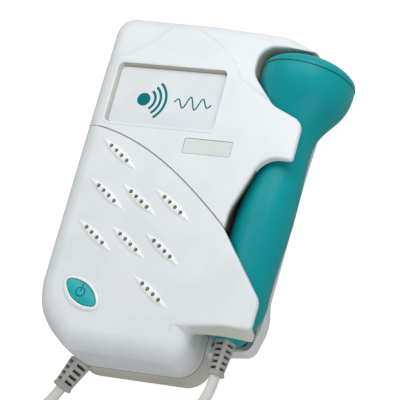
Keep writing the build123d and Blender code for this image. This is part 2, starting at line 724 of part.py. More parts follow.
with BuildPart() as rear_shell:
    with BuildSketch():
        filleted_face(HOUSING)
    extrude(amount=SEAM_Z)
    fillet(rear_shell.faces().sort_by(Axis.Z)[0].edges(), BACK_ROUND)
    with BuildSketch(Plane.XY.offset(RIM_Z)):
        filleted_face(POCKET)
    extrude(amount=SEAM_Z, mode=Mode.SUBTRACT)
    with BuildSketch(Plane.XY.offset(FLOOR)):
        electronics_hollow()
    extrude(amount=SEAM_Z, mode=Mode.SUBTRACT)
    with BuildSketch(Plane.XY.offset(FLOOR)):
        filleted_face(HOUSING)
        offset(amount=-WALL, mode=Mode.REPLACE)
        filleted_face(POCKET, mode=Mode.INTERSECT)
    extrude(amount=SEAM_Z, mode=Mode.SUBTRACT)
    add(probe_way(PROBE_GAP), mode=Mode.SUBTRACT)
    with BuildSketch(Plane.XY.offset(SEAM_Z - SEAM_LINE)):
        filleted_face(HOUSING)
        add(seam_core.sketch, mode=Mode.SUBTRACT)
    extrude(amount=SEAM_LINE, mode=Mode.SUBTRACT)
    # screw posts under the covers' posts, and posts of the main board
    with BuildSketch(Plane.XY.offset(FLOOR)):
        with Locations(*UPPER_BOSSES, *LOWER_BOSSES):
            Circle(BOSS_R)
    extrude(amount=SEAM_Z - FLOOR)
    with BuildSketch(Plane.XY.offset(FLOOR)):
        with Locations(*BOARD_POSTS):
            Circle(BOARD_POST_R)
    extrude(amount=MAIN_BOARD_Z - FLOOR)
    # rails on each side of the battery door
    with BuildSketch(Plane.XY.offset(FLOOR)):
        for side in (-1, 1):
            strip(BAY_X + side * (RAIL_OUT + RAIL_W / 2), RAIL_W / 2, BAY_FOOT_Y, BAY_TOP_Y)
    extrude(amount=RAIL_TOP_Z - FLOOR)
    with Locations(*rear_screw_spots):
        Cylinder(SCREW_R + SCREW_PLAY, SEAM_Z, align=UPWARD, mode=Mode.SUBTRACT)
        Cylinder(SCREW_HEAD_R + SCREW_PLAY, SCREW_SINK, align=UPWARD, mode=Mode.SUBTRACT)
    with Locations(*[(x, y, MAIN_BOARD_Z) for x, y in BOARD_POSTS]):
        Cylinder(SMALL_BORE_R, SMALL_SCREW_DEPTH, align=DOWNWARD, mode=Mode.SUBTRACT)
    # way of the door's plate through the floor, and of its flange through the top wall
    with BuildSketch():
        strip(BAY_X, DOOR_HALF_W + DOOR_GAP, DOOR_FOOT_Y - DOOR_GAP, FAR)
    extrude(amount=FLOOR, mode=Mode.SUBTRACT)
    with BuildSketch(Plane.XY.offset(FLOOR)):
        strip(BAY_X, RAIL_OUT, BAY_TOP_Y, FAR)
    extrude(amount=RAIL_TOP_Z - FLOOR, mode=Mode.SUBTRACT)
    with BuildSketch(ENTRY_PLANE.offset(-2 * WALL)):
        Circle(BOOT_NECK_R)
    extrude(amount=4 * WALL, mode=Mode.SUBTRACT)
rear_shell.part.label = "rear_shell"

with BuildPart() as cradle_saddle:
    rib_pitch = (SADDLE_TOP_Y - SADDLE_FOOT_Y - SADDLE_THICK) / (SADDLE_RIBS - 1)
    with BuildSketch(Plane.XY.offset(FLOOR)) as saddle_plan:
        filleted_face(HOUSING)
        filleted_face(POCKET, mode=Mode.INTERSECT)
        offset(amount=-WALL - SEAT, mode=Mode.REPLACE)
        with Locations((0, (SADDLE_FOOT_Y + SADDLE_TOP_Y) / 2)):
            Rectangle(2 * FAR, SADDLE_TOP_Y - SADDLE_FOOT_Y, mode=Mode.INTERSECT)
    extrude(amount=SADDLE_TOP_Z - FLOOR)
    add(probe_way(PROBE_GAP + SADDLE_THICK), mode=Mode.INTERSECT)
    for i in range(SADDLE_RIBS):
        rib_y = SADDLE_FOOT_Y + SADDLE_THICK / 2 + i * rib_pitch
        with BuildSketch(Plane.XY.offset(FLOOR)):
            add(saddle_plan.sketch.moved(Location((0, 0, -FLOOR))))
            with Locations((FAR / 2, rib_y)):
                Rectangle(FAR, SADDLE_THICK, mode=Mode.INTERSECT)
        extrude(amount=SADDLE_TOP_Z - FLOOR)
    add(probe_way(PROBE_GAP), mode=Mode.SUBTRACT)
cradle_saddle.part.label = "cradle_saddle"

with BuildPart() as battery_door:
    with BuildSketch(Plane.XY.offset(DOOR_GAP)):
        strip(BAY_X, DOOR_HALF_W, DOOR_FOOT_Y, TOP_Y)
    extrude(amount=FLOOR)
    with BuildSketch(Plane.XY.offset(FLOOR + DOOR_GAP)):
        strip(BAY_X, DOOR_HALF_W + DOOR_LIP, DOOR_FOOT_Y, TOP_Y)
    extrude(amount=DOOR_LIP_THICK)
    end_edge = battery_door.edges().filter_by(Axis.X).sort_by(lambda e: e.center().Y - e.center().Z)[-1]
    fillet(end_edge, BACK_ROUND - DOOR_GAP)
    # thumb grooves near the free end
    with BuildSketch(Plane.XY.offset(DOOR_GAP)):
        with Locations((BAY_X, TOP_Y - GRIP_FROM_END)):
            with GridLocations(1, GRIP_PITCH, 1, GRIP_GROOVES):
                SlotOverall(GRIP_LENGTH, GRIP_WIDTH)
    extrude(amount=GRIP_DEPTH, mode=Mode.SUBTRACT)
battery_door.part.label = "battery_door"

with BuildPart() as battery_holder:
    with BuildSketch(Plane.XY.offset(RAIL_TOP_Z)):
        strip(BAY_X, RAIL_OUT + RAIL_W, BAY_FOOT_Y, BAY_FOOT_Y + HOLDER_FOOT_LENGTH)
    extrude(amount=HOLDER_FOOT_THICK)
    with BuildSketch(Plane.XY.offset(RAIL_TOP_Z)):
        strip(BAY_X, HOLDER_HALF_W, BAY_FOOT_Y, BAY_TOP_Y)
    extrude(amount=HOLDER_TOP_Z - RAIL_TOP_Z)
    with BuildSketch(Plane.XY.offset(RAIL_TOP_Z)):
        strip(BAY_X, HOLDER_HALF_W - HOLDER_WALL, BAY_FOOT_Y + HOLDER_WALL, BAY_TOP_Y - HOLDER_WALL)
    extrude(amount=HOLDER_TOP_Z - HOLDER_WALL - RAIL_TOP_Z, mode=Mode.SUBTRACT)
battery_holder.part.label = "battery_holder"

# each cell: X of its axis, Y of its nub's end, and which way its nub points
cell_out = CELL_R + CELL_GAP / 2
contact_foot_y = BAY_FOOT_Y + HOLDER_WALL + CONTACT_THICK
contact_top_y = BAY_TOP_Y - HOLDER_WALL - CONTACT_THICK
CELLS = [
    (BAY_X - cell_out, contact_top_y - CELL_GAP, 1),
    (BAY_X + cell_out, contact_foot_y + CELL_GAP, -1),
]

with BuildPart() as battery_cells:
    for x, nub_y, way in CELLS:
        nub_plane = Plane(origin=(x, nub_y, CELL_Z), x_dir=(1, 0, 0), z_dir=(0, -way, 0))
        with BuildSketch(nub_plane):
            Circle(NUB_R)
        extrude(amount=NUB_LENGTH)
        with BuildSketch(nub_plane.offset(NUB_LENGTH)):
            Circle(CELL_R)
        extrude(amount=CELL_LENGTH - NUB_LENGTH)
battery_cells.part.label = "battery_cells"

with BuildPart() as battery_contacts:
    for y, way in ((BAY_FOOT_Y + HOLDER_WALL, 1), (BAY_TOP_Y - HOLDER_WALL, -1)):
        with BuildSketch(Plane(origin=(BAY_X, y, CELL_Z), x_dir=(1, 0, 0), z_dir=(0, way, 0))):
            if way == 1:
                Rectangle(2 * (cell_out + CONTACT_HALF_W), 2 * CONTACT_HALF_W)
            else:
                with GridLocations(2 * cell_out, 1, 2, 1):
                    Rectangle(2 * CONTACT_HALF_W, 2 * CONTACT_HALF_W)
        extrude(amount=CONTACT_THICK)
battery_contacts.part.label = "battery_contacts"

with BuildPart() as battery_springs:
    for x, nub_y, way in CELLS:
        spring_y = contact_foot_y if way == 1 else contact_top_y
        spring_length = SPRING_SPACE - 2 * (SPRING_WIRE_R + SPRING_SEAT)
        with BuildLine() as coil:
            Helix(
                spring_length / SPRING_TURNS,
                spring_length,
                CONTACT_HALF_W - 1,
                center=(x, spring_y + way * (SPRING_WIRE_R + SPRING_SEAT), CELL_Z),
                direction=(0, way, 0),
                cone_angle=-20,
            )
        with BuildSketch(Plane(origin=coil.line @ 0, z_dir=coil.line % 0)):
            Circle(SPRING_WIRE_R)
        sweep(path=coil.line)
battery_springs.part.label = "battery_springs"

with BuildPart() as main_board:
    with BuildSketch(Plane.XY.offset(MAIN_BOARD_Z)):
        filleted_face(MAIN_BOARD)
        with Locations(*BOARD_POSTS):
            Circle(BOARD_HOLE_R, mode=Mode.SUBTRACT)
    extrude(amount=BOARD_THICK)
main_board.part.label = "main_board"

# chips on the main board: x, y, length, width, height
CHIPS = [
    (-26.0, -14.0, 10.0, 10.0, 1.6),
    (-6.0, -16.0, 6.2, 5.0, 1.5),
    (-12.0, -36.0, 12.0, 7.5, 2.4),
    (4.0, -34.0, 5.0, 4.0, 1.4),
    (-24.0, -38.0, 5.0, 6.2, 1.5),
    (5.0, -18.0, 7.0, 4.5, 4.0),
]
with BuildPart() as board_chips:
    for x, y, length, width, height in CHIPS:
        with BuildSketch(Plane.XY.offset(MAIN_BOARD_Z + BOARD_THICK)):
            with Locations((x, y)):
                Rectangle(length, width)
        extrude(amount=height)
board_chips.part.label = "board_chips"

with BuildPart() as board_screws:
    for x, y in BOARD_POSTS:
        seat = Plane(origin=(x, y, MAIN_BOARD_Z + BOARD_THICK))
        add(screw(seat, SMALL_HEAD_R, SMALL_HEAD_HEIGHT, SMALL_SCREW_R, SMALL_SCREW_LENGTH))
board_screws.part.label = "board_screws"

# ---- speaker ----
SPEAKER_PLANE = Plane(origin=(SPEAKER_X, SPEAKER_Y, 0), x_dir=(1, 0, 0), z_dir=(0, -1, 0))
RIM_STEP = 0.4
CONE_R = SPEAKER_R - 2.1  # outside of the cone's glued edge
SURROUND_R = SPEAKER_R - 4.0
COIL_R = 6.0
COIL_WALL = 0.3
VOICE_COIL_DEPTH = 2.0
CUP_R = 13.2  # foot of the basket
CUP_Z = 23.8
MAGNET_R = 11.0
MAGNET_HEIGHT = 6.3
MAGNET_SLOT_DEPTH = 3.5
BASKET_THICK = 1.0
BASKET_WINDOWS = 4
BASKET_WINDOW_LENGTH, BASKET_WINDOW_WIDTH = 8.0, 12.0
CONE_EDGE = 0.4  # flat ring of the cone inside its surround
CAP_OUT_R, CAP_RISE = 5.0, 3.6  # the cap over the voice coil, above the cup
flange_top_z = FLANGE_Z + FLANGE_THICK
magnet_top_z = CUP_Z - BASKET_THICK

with BuildPart() as speaker_gasket:
    with BuildSketch(Plane.XY.offset(flange_top_z)):
        with Locations((SPEAKER_X, SPEAKER_Y)):
            Circle(SPEAKER_R)
            Circle(CONE_R + RIM_STEP, mode=Mode.SUBTRACT)
    extrude(amount=GASKET_THICK)
speaker_gasket.part.label = "speaker_gasket"

with BuildPart() as speaker_basket:
    add(
        revolved(
            SPEAKER_PLANE,
            [
                (COIL_R + 2 * COIL_WALL, magnet_top_z),
                (CUP_R, magnet_top_z),
                (SURROUND_R + BASKET_THICK, FLANGE_Z),
                (SPEAKER_R, FLANGE_Z),
                (SPEAKER_R, flange_top_z),
                (CONE_R, flange_top_z),
                (CONE_R, flange_top_z - RIM_STEP),
                (SURROUND_R, flange_top_z - RIM_STEP),
                (CUP_R - BASKET_THICK, CUP_Z),
                (COIL_R + 2 * COIL_WALL, CUP_Z),
            ],
        )
    )
    with Locations((SPEAKER_X, SPEAKER_Y, (CUP_Z + FLANGE_Z) / 2)):
        with PolarLocations((CUP_R + SURROUND_R) / 2, BASKET_WINDOWS):
            window_height = FLANGE_Z - CUP_Z - 2 * BASKET_THICK
            Box(BASKET_WINDOW_LENGTH, BASKET_WINDOW_WIDTH, window_height, mode=Mode.SUBTRACT)
speaker_basket.part.label = "speaker_basket"

with BuildPart() as speaker_cone:
    add(
        revolved(
            SPEAKER_PLANE,
            [
                (CONE_R, flange_top_z - RIM_STEP),
                (CONE_R, flange_top_z),
                (SURROUND_R - CONE_EDGE, flange_top_z),
                (COIL_R + 2 * COIL_WALL, CUP_Z + CAP_RISE - 1.0),
                (CAP_OUT_R, CUP_Z + CAP_RISE),
                (0, CUP_Z + CAP_RISE + 2 * COIL_WALL),
                (0, CUP_Z + CAP_RISE + COIL_WALL),
                (COIL_R - COIL_WALL, CUP_Z + 2.2),
                (COIL_R - COIL_WALL, magnet_top_z - VOICE_COIL_DEPTH),
                (COIL_R, magnet_top_z - VOICE_COIL_DEPTH),
                (COIL_R, CUP_Z + 2.1),
                (SURROUND_R - CONE_EDGE, flange_top_z - RIM_STEP),
            ],
        )
    )
speaker_cone.part.label = "speaker_cone"

with BuildPart() as speaker_magnet:
    add(
        revolved(
            SPEAKER_PLANE,
            [
                (0, magnet_top_z - MAGNET_HEIGHT),
                (MAGNET_R, magnet_top_z - MAGNET_HEIGHT),
                (MAGNET_R, magnet_top_z),
                (COIL_R + 2 * COIL_WALL, magnet_top_z),
                (COIL_R + 2 * COIL_WALL, magnet_top_z - MAGNET_SLOT_DEPTH),
                (COIL_R - 3 * COIL_WALL, magnet_top_z - MAGNET_SLOT_DEPTH),
                (COIL_R - 3 * COIL_WALL, magnet_top_z),
                (0, magnet_top_z),
            ],
        )
    )
speaker_magnet.part.label = "speaker_magnet"

with BuildPart() as speaker_screws:
    for x, y in SPEAKER_BOSSES:
        seat = Plane(origin=(x, y, FLANGE_Z), z_dir=(0, 0, -1))
        add(screw(seat, SPEAKER_HEAD_R, SMALL_HEAD_HEIGHT, SMALL_SCREW_R, SPEAKER_SCREW_LENGTH))
speaker_screws.part.label = "speaker_screws"

# ---- key board, switch and power button ----
with BuildPart() as key_board:
    with BuildSketch(button_plane(KEY_BOARD_Z)):
        RectangleRounded(KEY_BOARD_LENGTH, KEY_BOARD_WIDTH, 1.0)
        with GridLocations(2 * KEY_POST_OUT, 1, 2, 1):
            Circle(BOARD_HOLE_R, mode=Mode.SUBTRACT)
    extrude(amount=BOARD_THICK)
key_board.part.label = "key_board"

with BuildPart() as key_board_screws:
    for x, y in KEY_POSTS:
        seat = Plane(origin=(x, y, KEY_BOARD_Z), z_dir=(0, 0, -1))
        add(screw(seat, SMALL_HEAD_R, SMALL_HEAD_HEIGHT, SMALL_SCREW_R, SMALL_SCREW_LENGTH))
key_board_screws.part.label = "key_board_screws"

switch_foot_z = KEY_BOARD_Z + BOARD_THICK
PLUNGER_FOOT_Z = switch_foot_z + BUTTON_TRAVEL + PLUNGER_SPARE
with BuildPart() as power_switch:
    with BuildSketch(button_plane(switch_foot_z)):
        Rectangle(SWITCH_SIDE, SWITCH_SIDE)
    extrude(amount=SWITCH_HEIGHT)
    with BuildSketch(button_plane(PLUNGER_FOOT_Z - BUTTON_TRAVEL - SEAT)):
        Circle(PLUNGER_R + FIT)
    extrude(amount=SWITCH_HEIGHT, mode=Mode.SUBTRACT)
power_switch.part.label = "power_switch"

with BuildPart() as switch_plunger:
    with BuildSketch(button_plane(PLUNGER_FOOT_Z)):
        Circle(PLUNGER_R)
    extrude(amount=BUTTON_FOOT_Z - PLUNGER_FOOT_Z)
switch_plunger.part.label = "switch_plunger"

with BuildPart() as power_button:
    with BuildSketch(button_plane(BUTTON_FOOT_Z)):
        leaf_face(BUTTON_LENGTH, BUTTON_WIDTH, BUTTON_TIP_R)
    extrude(amount=FRONT_Z + BUTTON_RISE - BUTTON_FOOT_Z)
    fillet(power_button.faces().sort_by(Axis.Z)[-1].edges(), BUTTON_ROUND)
    with BuildSketch(button_plane(CEILING_Z - SEAT - BUTTON_LIP_THICK)):
        leaf_face(
            BUTTON_LENGTH + 2 * FLANGE_GROW, BUTTON_WIDTH + 2 * FLANGE_GROW, BUTTON_TIP_R + FLANGE_GROW
        )
    extrude(amount=BUTTON_LIP_THICK)
power_button.part.label = "power_button"

# ---- control board with the headphone jack and the volume wheel ----
with BuildPart() as control_board:
    with BuildSketch(Plane.XY.offset(CONTROL_BOARD_Z)):
        filleted_face(CONTROL_BOARD)
        with Locations(*CONTROL_POSTS):
            Circle(BOARD_HOLE_R, mode=Mode.SUBTRACT)
    extrude(amount=BOARD_THICK)
control_board.part.label = "control_board"

with BuildPart() as control_board_screws:
    for x, y in CONTROL_POSTS:
        seat = Plane(origin=(x, y, CONTROL_BOARD_Z), z_dir=(0, 0, -1))
        add(screw(seat, SMALL_HEAD_R, SMALL_HEAD_HEIGHT, SMALL_SCREW_R, SMALL_SCREW_LENGTH))
control_board_screws.part.label = "control_board_screws"

with BuildPart() as headphone_jack:
    jack_face_y = TOP_Y - WALL - SEAT
    with BuildSketch(Plane.XZ.offset(-jack_face_y)):
        with Locations((JACK_X, JACK_Z)):
            Rectangle(JACK_BODY[0], JACK_BODY[2])
    extrude(amount=JACK_BODY[1])
    with BuildSketch(Plane.XZ.offset(-jack_face_y)):
        with Locations((JACK_X, JACK_Z)):
            Circle(JACK_COLLAR_R)
    extrude(amount=-WALL - SEAT - JACK_STAND)
    with BuildSketch(Plane.XZ.offset(-TOP_Y - JACK_STAND)):
        with Locations((JACK_X, JACK_Z)):
            Circle(JACK_BORE_R)
    extrude(amount=JACK_DEPTH, mode=Mode.SUBTRACT)
headphone_jack.part.label = "headphone_jack"

with BuildPart() as volume_potentiometer:
    with BuildSketch(Plane.XY.offset(CONTROL_BOARD_Z)):
        with Locations((WHEEL_X, WHEEL_Y)):
            Rectangle(POT_SIDE, POT_SIDE)
            Circle(WHEEL_SHAFT_R + FIT, mode=Mode.SUBTRACT)
    extrude(amount=-POT_THICK)
volume_potentiometer.part.label = "volume_potentiometer"

with BuildPart() as volume_wheel:
    with BuildSketch(Plane.XY.offset(WHEEL_TOP_Z)):
        with Locations((WHEEL_X, WHEEL_Y)):
            Circle(WHEEL_R)
            with PolarLocations(WHEEL_R, WHEEL_NOTCHES):
                Circle(WHEEL_NOTCH_R, mode=Mode.SUBTRACT)
    extrude(amount=-WHEEL_THICK)
    with BuildSketch(Plane.XY.offset(WHEEL_TOP_Z)):
        with Locations((WHEEL_X, WHEEL_Y)):
            Circle(WHEEL_SHAFT_R)
    extrude(amount=POT_THICK)
volume_wheel.part.label = "volume_wheel"

with BuildPart() as housing_screws:
    for x, y in UPPER_BOSSES + LOWER_BOSSES:
        seat = Plane(origin=(x, y, SCREW_SINK), z_dir=(0, 0, -1))
        add(screw(seat, SCREW_HEAD_R, SCREW_HEAD_HEIGHT, SCREW_R, SCREW_LENGTH))
housing_screws.part.label = "housing_screws"


def cable_boot(plane, length, root, tip, slots, neck_r, neck_back, flange_r, flange_thick):
    """Squared strain relief that stands on a plane, with a neck and a flange behind the plane."""
    with BuildPart() as boot:
        with BuildSketch(plane):
            RectangleRounded(root, root, root * BOOT_ROUND)
        with BuildSketch(plane.offset(length - BOOT_COLLAR)):
            RectangleRounded(tip, tip, tip * BOOT_ROUND)
        loft()
        with BuildSketch(plane.offset(length - BOOT_COLLAR)):
            RectangleRounded(tip + BOOT_COLLAR_GROW, tip + BOOT_COLLAR_GROW, tip * BOOT_ROUND)
        extrude(amount=BOOT_COLLAR)
        pitch = (length - BOOT_COLLAR) / (slots + 0.5)
        for i in range(slots):
            with BuildSketch(plane.offset(pitch * (i + 0.6))):
                with Locations((root, 0), (-root, 0)):
                    Rectangle(2 * (root - BOOT_CORE), root)
            extrude(amount=BOOT_SLOT, mode=Mode.SUBTRACT)
        with BuildSketch(plane):
            Circle(neck_r)
        extrude(amount=-neck_back)
        with BuildSketch(plane.offset(-neck_back)):
            Circle(flange_r)
        extrude(amount=-flange_thick)
    return boot.part


inner_corner_r = HEEL_R - WALL
flange_inset = inner_corner_r - (inner_corner_r**2 - BOOT_FLANGE_R**2) ** 0.5
with BuildPart() as unit_cable_boot:
    add(
        cable_boot(
            ENTRY_PLANE,
            UNIT_BOOT_LENGTH,
            UNIT_BOOT_ROOT,
            UNIT_BOOT_TIP,
            UNIT_BOOT_SLOTS,
            BOOT_NECK_R - FIT,
            WALL + flange_inset + FIT,
            BOOT_FLANGE_R,
            BOOT_FLANGE_THICK,
        )
    )
unit_cable_boot.part.label = "unit_cable_boot"

# ---- probe ----
TAIL_PLANE = Plane(
    origin=PROBE_PLANE.origin + PROBE_PLANE.y_dir * PROBE_LENGTH, x_dir=(0, 0, 1), z_dir=PROBE_PLANE.y_dir
)
TAIL_NECK_R = 3.0
TAIL_FLANGE_R = 3.8
TAIL_FLANGE_BACK = 1.0

with BuildPart() as probe_body:
    with BuildSketch(PROBE_PLANE):
        probe_silhouette(0)
        half_plane(SEAL_THICK, 2 * FAR)
    revolve(axis=PROBE_AXIS)
    with BuildSketch(PROBE_PLANE):
        probe_silhouette(-PROBE_WALL)
        half_plane(SEAL_THICK, 2 * FAR)
    revolve(axis=PROBE_AXIS, mode=Mode.SUBTRACT)
    with BuildSketch(TAIL_PLANE):
        Circle(TAIL_NECK_R)
    extrude(amount=-2 * PROBE_WALL, mode=Mode.SUBTRACT)
probe_body.part.label = "probe_body"

cap_floor_plane = Plane(
    origin=PROBE_PLANE.origin + PROBE_PLANE.y_dir * (CAP_FLOOR - CAP_HEIGHT),
    x_dir=(0, 0, 1),
    z_dir=PROBE_PLANE.y_dir,
)

with BuildPart() as probe_face_cap:
    with BuildSketch(PROBE_PLANE):
        probe_silhouette(0)
        half_plane(-FAR, 0)
    revolve(axis=PROBE_AXIS)
    with BuildSketch(cap_floor_plane):
        Circle(LIP_R)
    extrude(amount=CAP_HEIGHT - CAP_FLOOR + LIP_LENGTH)
    with BuildSketch(cap_floor_plane):
        Circle(LIP_R - LIP_WALL)
    extrude(amount=CAP_HEIGHT + LIP_LENGTH, mode=Mode.SUBTRACT)
probe_face_cap.part.label = "probe_face_cap"

with BuildPart() as probe_seal:
    with BuildSketch(PROBE_PLANE):
        with Locations(((LIP_R + FIT + HEAD_R - SEAL_INSET) / 2, SEAL_THICK / 2)):
            Rectangle(HEAD_R - SEAL_INSET - LIP_R - FIT, SEAL_THICK)
    revolve(axis=PROBE_AXIS)
probe_seal.part.label = "probe_seal"

with BuildPart() as probe_crystals:
    with BuildSketch(cap_floor_plane):
        Circle(CRYSTAL_R)
        Rectangle(CRYSTAL_SPLIT, 2 * CRYSTAL_R, mode=Mode.SUBTRACT)
    extrude(amount=CRYSTAL_THICK)
probe_crystals.part.label = "probe_crystals"

with BuildPart() as probe_backing:
    with BuildSketch(cap_floor_plane.offset(CRYSTAL_THICK)):
        Circle(BACKING_R)
    extrude(amount=BACKING_THICK)
probe_backing.part.label = "probe_backing"

with BuildPart() as probe_board:
    board_half_w = ((NECK_R - PROBE_WALL) ** 2 - BOARD_THICK**2 / 4) ** 0.5 - SEAT
    with BuildSketch(PROBE_PLANE.offset(-board_half_w)):
        with Locations((0, PROBE_BOARD_START + PROBE_BOARD_LENGTH / 2)):
            Rectangle(BOARD_THICK, PROBE_BOARD_LENGTH)
    extrude(amount=2 * board_half_w)
probe_board.part.label = "probe_board"

with BuildPart() as probe_cable_boot:
    add(
        cable_boot(
            TAIL_PLANE,
            PROBE_BOOT_LENGTH,
            PROBE_BOOT_ROOT,
            PROBE_BOOT_TIP,
            PROBE_BOOT_SLOTS,
            TAIL_NECK_R - FIT,
            PROBE_WALL + TAIL_FLANGE_BACK,
            TAIL_FLANGE_R,
            BOOT_FLANGE_THICK,
        )
    )
probe_cable_boot.part.label = "probe_cable_boot"

# ---- cord: from the unit's boot to a coil on the table, and from the coil to the probe's boot ----
COIL_X, COIL_Y = -38.0, -128.0
COIL_TURNS, COIL_LAYERS = 4, 2
COIL_OUT_R = 34.3
COIL_WIDTH = (COIL_TURNS + 0.5) * (2 * CORD_R + 2 * FIT)
COIL_HEIGHT = COIL_LAYERS * (2 * CORD_R + 2 * FIT)
LOW_Z = CORD_R + FIT
UNIT_STRAIGHT, PROBE_STRAIGHT = 9.0, 5.5  # how far the cord runs on straight out of each boot
unit_boot_end = ENTRY + ENTRY_AXIS * UNIT_BOOT_LENGTH
probe_boot_end = TAIL_PLANE.origin + TAIL_PLANE.z_dir * PROBE_BOOT_LENGTH
UNIT_ROUTE = [
    unit_boot_end,
    unit_boot_end + ENTRY_AXIS * UNIT_STRAIGHT,
    (-52.0, -93.0, 7.5),
    (-66.0, -100.5, 3.0),
    (-73.6, -113.5, LOW_Z),
    (-75.0, -127.5, LOW_Z),
]
PROBE_ROUTE = [
    probe_boot_end,
    probe_boot_end + TAIL_PLANE.z_dir * PROBE_STRAIGHT,
    (24.4, -78.6, 18.8),
    (19.6, -85.5, 15.2),
    (14.2, -94.5, 9.8),
    (7.6, -105.5, 4.8),
    (1.2, -116.5, 2.4),
    (-1.1, -128.5, LOW_Z),
]


def corner_radii(route):
    """Arc for each corner of a route: 0.45 of the shorter run over the tangent of half the turn."""
    points = [Vector(p) for p in route]
    radii = []
    for before, corner, after in zip(points, points[1:], points[2:]):
        arriving, leaving = corner - before, after - corner
        half_turn = radians(arriving.get_angle(leaving)) / 2
        radii.append(0.45 * min(arriving.length, leaving.length) / tan(half_turn))
    return radii


def cord_path(route):
    """Straight runs joined by arcs."""
    radii = corner_radii(route)
    print("corner radii", [round(r, 1) for r in radii])
    with BuildLine() as path:
        FilletPolyline(*route, radius=radii)
    return path.line


def cord_tube(path):
    """Round tube of the cord's thickness along a path."""
    with BuildPart() as tube:
        with BuildSketch(Plane(origin=path @ 0, z_dir=path % 0)):
            Circle(CORD_R)
        sweep(path=path)
    section = pi * CORD_R**2
    length = sum(run.length for run in path.edges())
    print("cord volume", round(tube.part.volume, 1), "section times length", round(section * length, 1))
    return tube.part


with BuildPart() as cord_unit_run:
    add(cord_tube(cord_path(UNIT_ROUTE)))
cord_unit_run.part.label = "cord_unit_run"

with BuildPart() as cord_probe_run:
    add(cord_tube(cord_path(PROBE_ROUTE)))
cord_probe_run.part.label = "cord_probe_run"

with BuildPart() as cord_coil:
    with BuildSketch(Plane(origin=(COIL_X, COIL_Y, 0), x_dir=(1, 0, 0), z_dir=(0, -1, 0))):
        with Locations((COIL_OUT_R - COIL_WIDTH / 2, COIL_HEIGHT / 2)):
            RectangleRounded(COIL_WIDTH, COIL_HEIGHT, CORD_R)
    revolve(axis=Axis((COIL_X, COIL_Y, 0), (0, 0, 1)))
cord_coil.part.label = "cord_coil"

PARTS = [
    rear_shell,
    front_cover_upper,
    front_cover_lower,
    window_panel,
    name_plate,
    cradle_saddle,
    battery_door,
    battery_holder,
    battery_cells,
    battery_contacts,
    battery_springs,
    main_board,
    board_chips,
    board_screws,
    speaker_gasket,
    speaker_basket,
    speaker_cone,
    speaker_magnet,
    speaker_screws,
    key_board,
    key_board_screws,
    power_switch,
    switch_plunger,
    power_button,
    control_board,
    control_board_screws,
    headphone_jack,
    volume_potentiometer,
    volume_wheel,
    housing_screws,
    unit_cable_boot,
    probe_body,
    probe_face_cap,
    probe_seal,
    probe_crystals,
    probe_backing,
    probe_board,
    probe_cable_boot,
    cord_unit_run,
    cord_probe_run,
    cord_coil,
]
for piece in PARTS:
    export_step(piece.part, f"parts/{piece.part.label}.step")
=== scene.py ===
"""Looks of a pocket fetal heartbeat monitor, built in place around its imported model.

Every length in the classes is in millimetres, and is turned into metres where a mesh is made.
"""

import json
import logging
import math
from collections.abc import Callable, Sequence
from dataclasses import dataclass, field
from enum import Enum
from typing import Union

import bmesh
import bpy
from mathutils import Matrix, Vector

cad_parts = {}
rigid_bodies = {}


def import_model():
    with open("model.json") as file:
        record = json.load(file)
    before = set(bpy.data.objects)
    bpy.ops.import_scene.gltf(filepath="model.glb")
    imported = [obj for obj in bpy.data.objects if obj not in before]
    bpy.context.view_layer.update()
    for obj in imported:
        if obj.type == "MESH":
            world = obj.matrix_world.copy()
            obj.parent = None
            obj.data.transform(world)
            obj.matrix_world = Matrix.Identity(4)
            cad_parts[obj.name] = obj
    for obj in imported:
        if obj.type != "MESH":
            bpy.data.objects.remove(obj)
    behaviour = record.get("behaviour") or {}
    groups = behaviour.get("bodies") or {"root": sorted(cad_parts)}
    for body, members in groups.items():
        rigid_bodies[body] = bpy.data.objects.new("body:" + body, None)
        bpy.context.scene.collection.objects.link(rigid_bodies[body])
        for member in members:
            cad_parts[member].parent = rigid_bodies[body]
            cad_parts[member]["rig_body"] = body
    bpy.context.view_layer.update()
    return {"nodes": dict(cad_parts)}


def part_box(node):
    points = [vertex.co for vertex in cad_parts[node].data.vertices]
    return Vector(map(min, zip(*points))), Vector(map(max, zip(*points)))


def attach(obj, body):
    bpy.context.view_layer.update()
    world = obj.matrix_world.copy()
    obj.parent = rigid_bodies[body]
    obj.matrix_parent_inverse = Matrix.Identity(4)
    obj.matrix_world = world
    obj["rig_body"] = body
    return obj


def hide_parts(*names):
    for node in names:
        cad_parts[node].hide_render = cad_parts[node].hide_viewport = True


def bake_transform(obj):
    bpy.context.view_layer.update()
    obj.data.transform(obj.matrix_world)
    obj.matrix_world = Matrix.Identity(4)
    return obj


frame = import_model()

LOG = logging.getLogger("heartbeat_monitor")
MM = 0.001
FACE_Z = 34.5  # the unit's front face, inside the arch
FACE_TOLERANCE = 0.02  # a place nearer to the front face than this counts as on it
Colour = tuple[float, float, float]
Point = tuple[float, float, float]
Flat = tuple[float, float]
Span = tuple[float, float]
Plane = tuple[Vector, Vector]
Form = Callable[[Vector], Vector]


def mm(x: float, y: float, z: float) -> Vector:
    """Turn a place in millimetres into one in metres."""
    return Vector((x, y, z)) * MM


def eased(value: float, start: float, end: float) -> float:
    """Rise smoothly from 0 to 1 while a value goes from start to end."""
    share = min(max((value - start) / (end - start), 0.0), 1.0)
    return share * share * (3 - 2 * share)


def paint(red: int, green: int, blue: int) -> Colour:
    """Turn a colour as a screen shows it, 0 to 255, into a linear one.

    Args:
        red: Red, 0 to 255.
        green: Green, 0 to 255.
        blue: Blue, 0 to 255.

    Returns:
        The linear colour, 0 to 1.
    """
    shares = (red / 255, green / 255, blue / 255)
    linear = [s / 12.92 if s <= 0.04045 else ((s + 0.055) / 1.055) ** 2.4 for s in shares]
    return (linear[0], linear[1], linear[2])


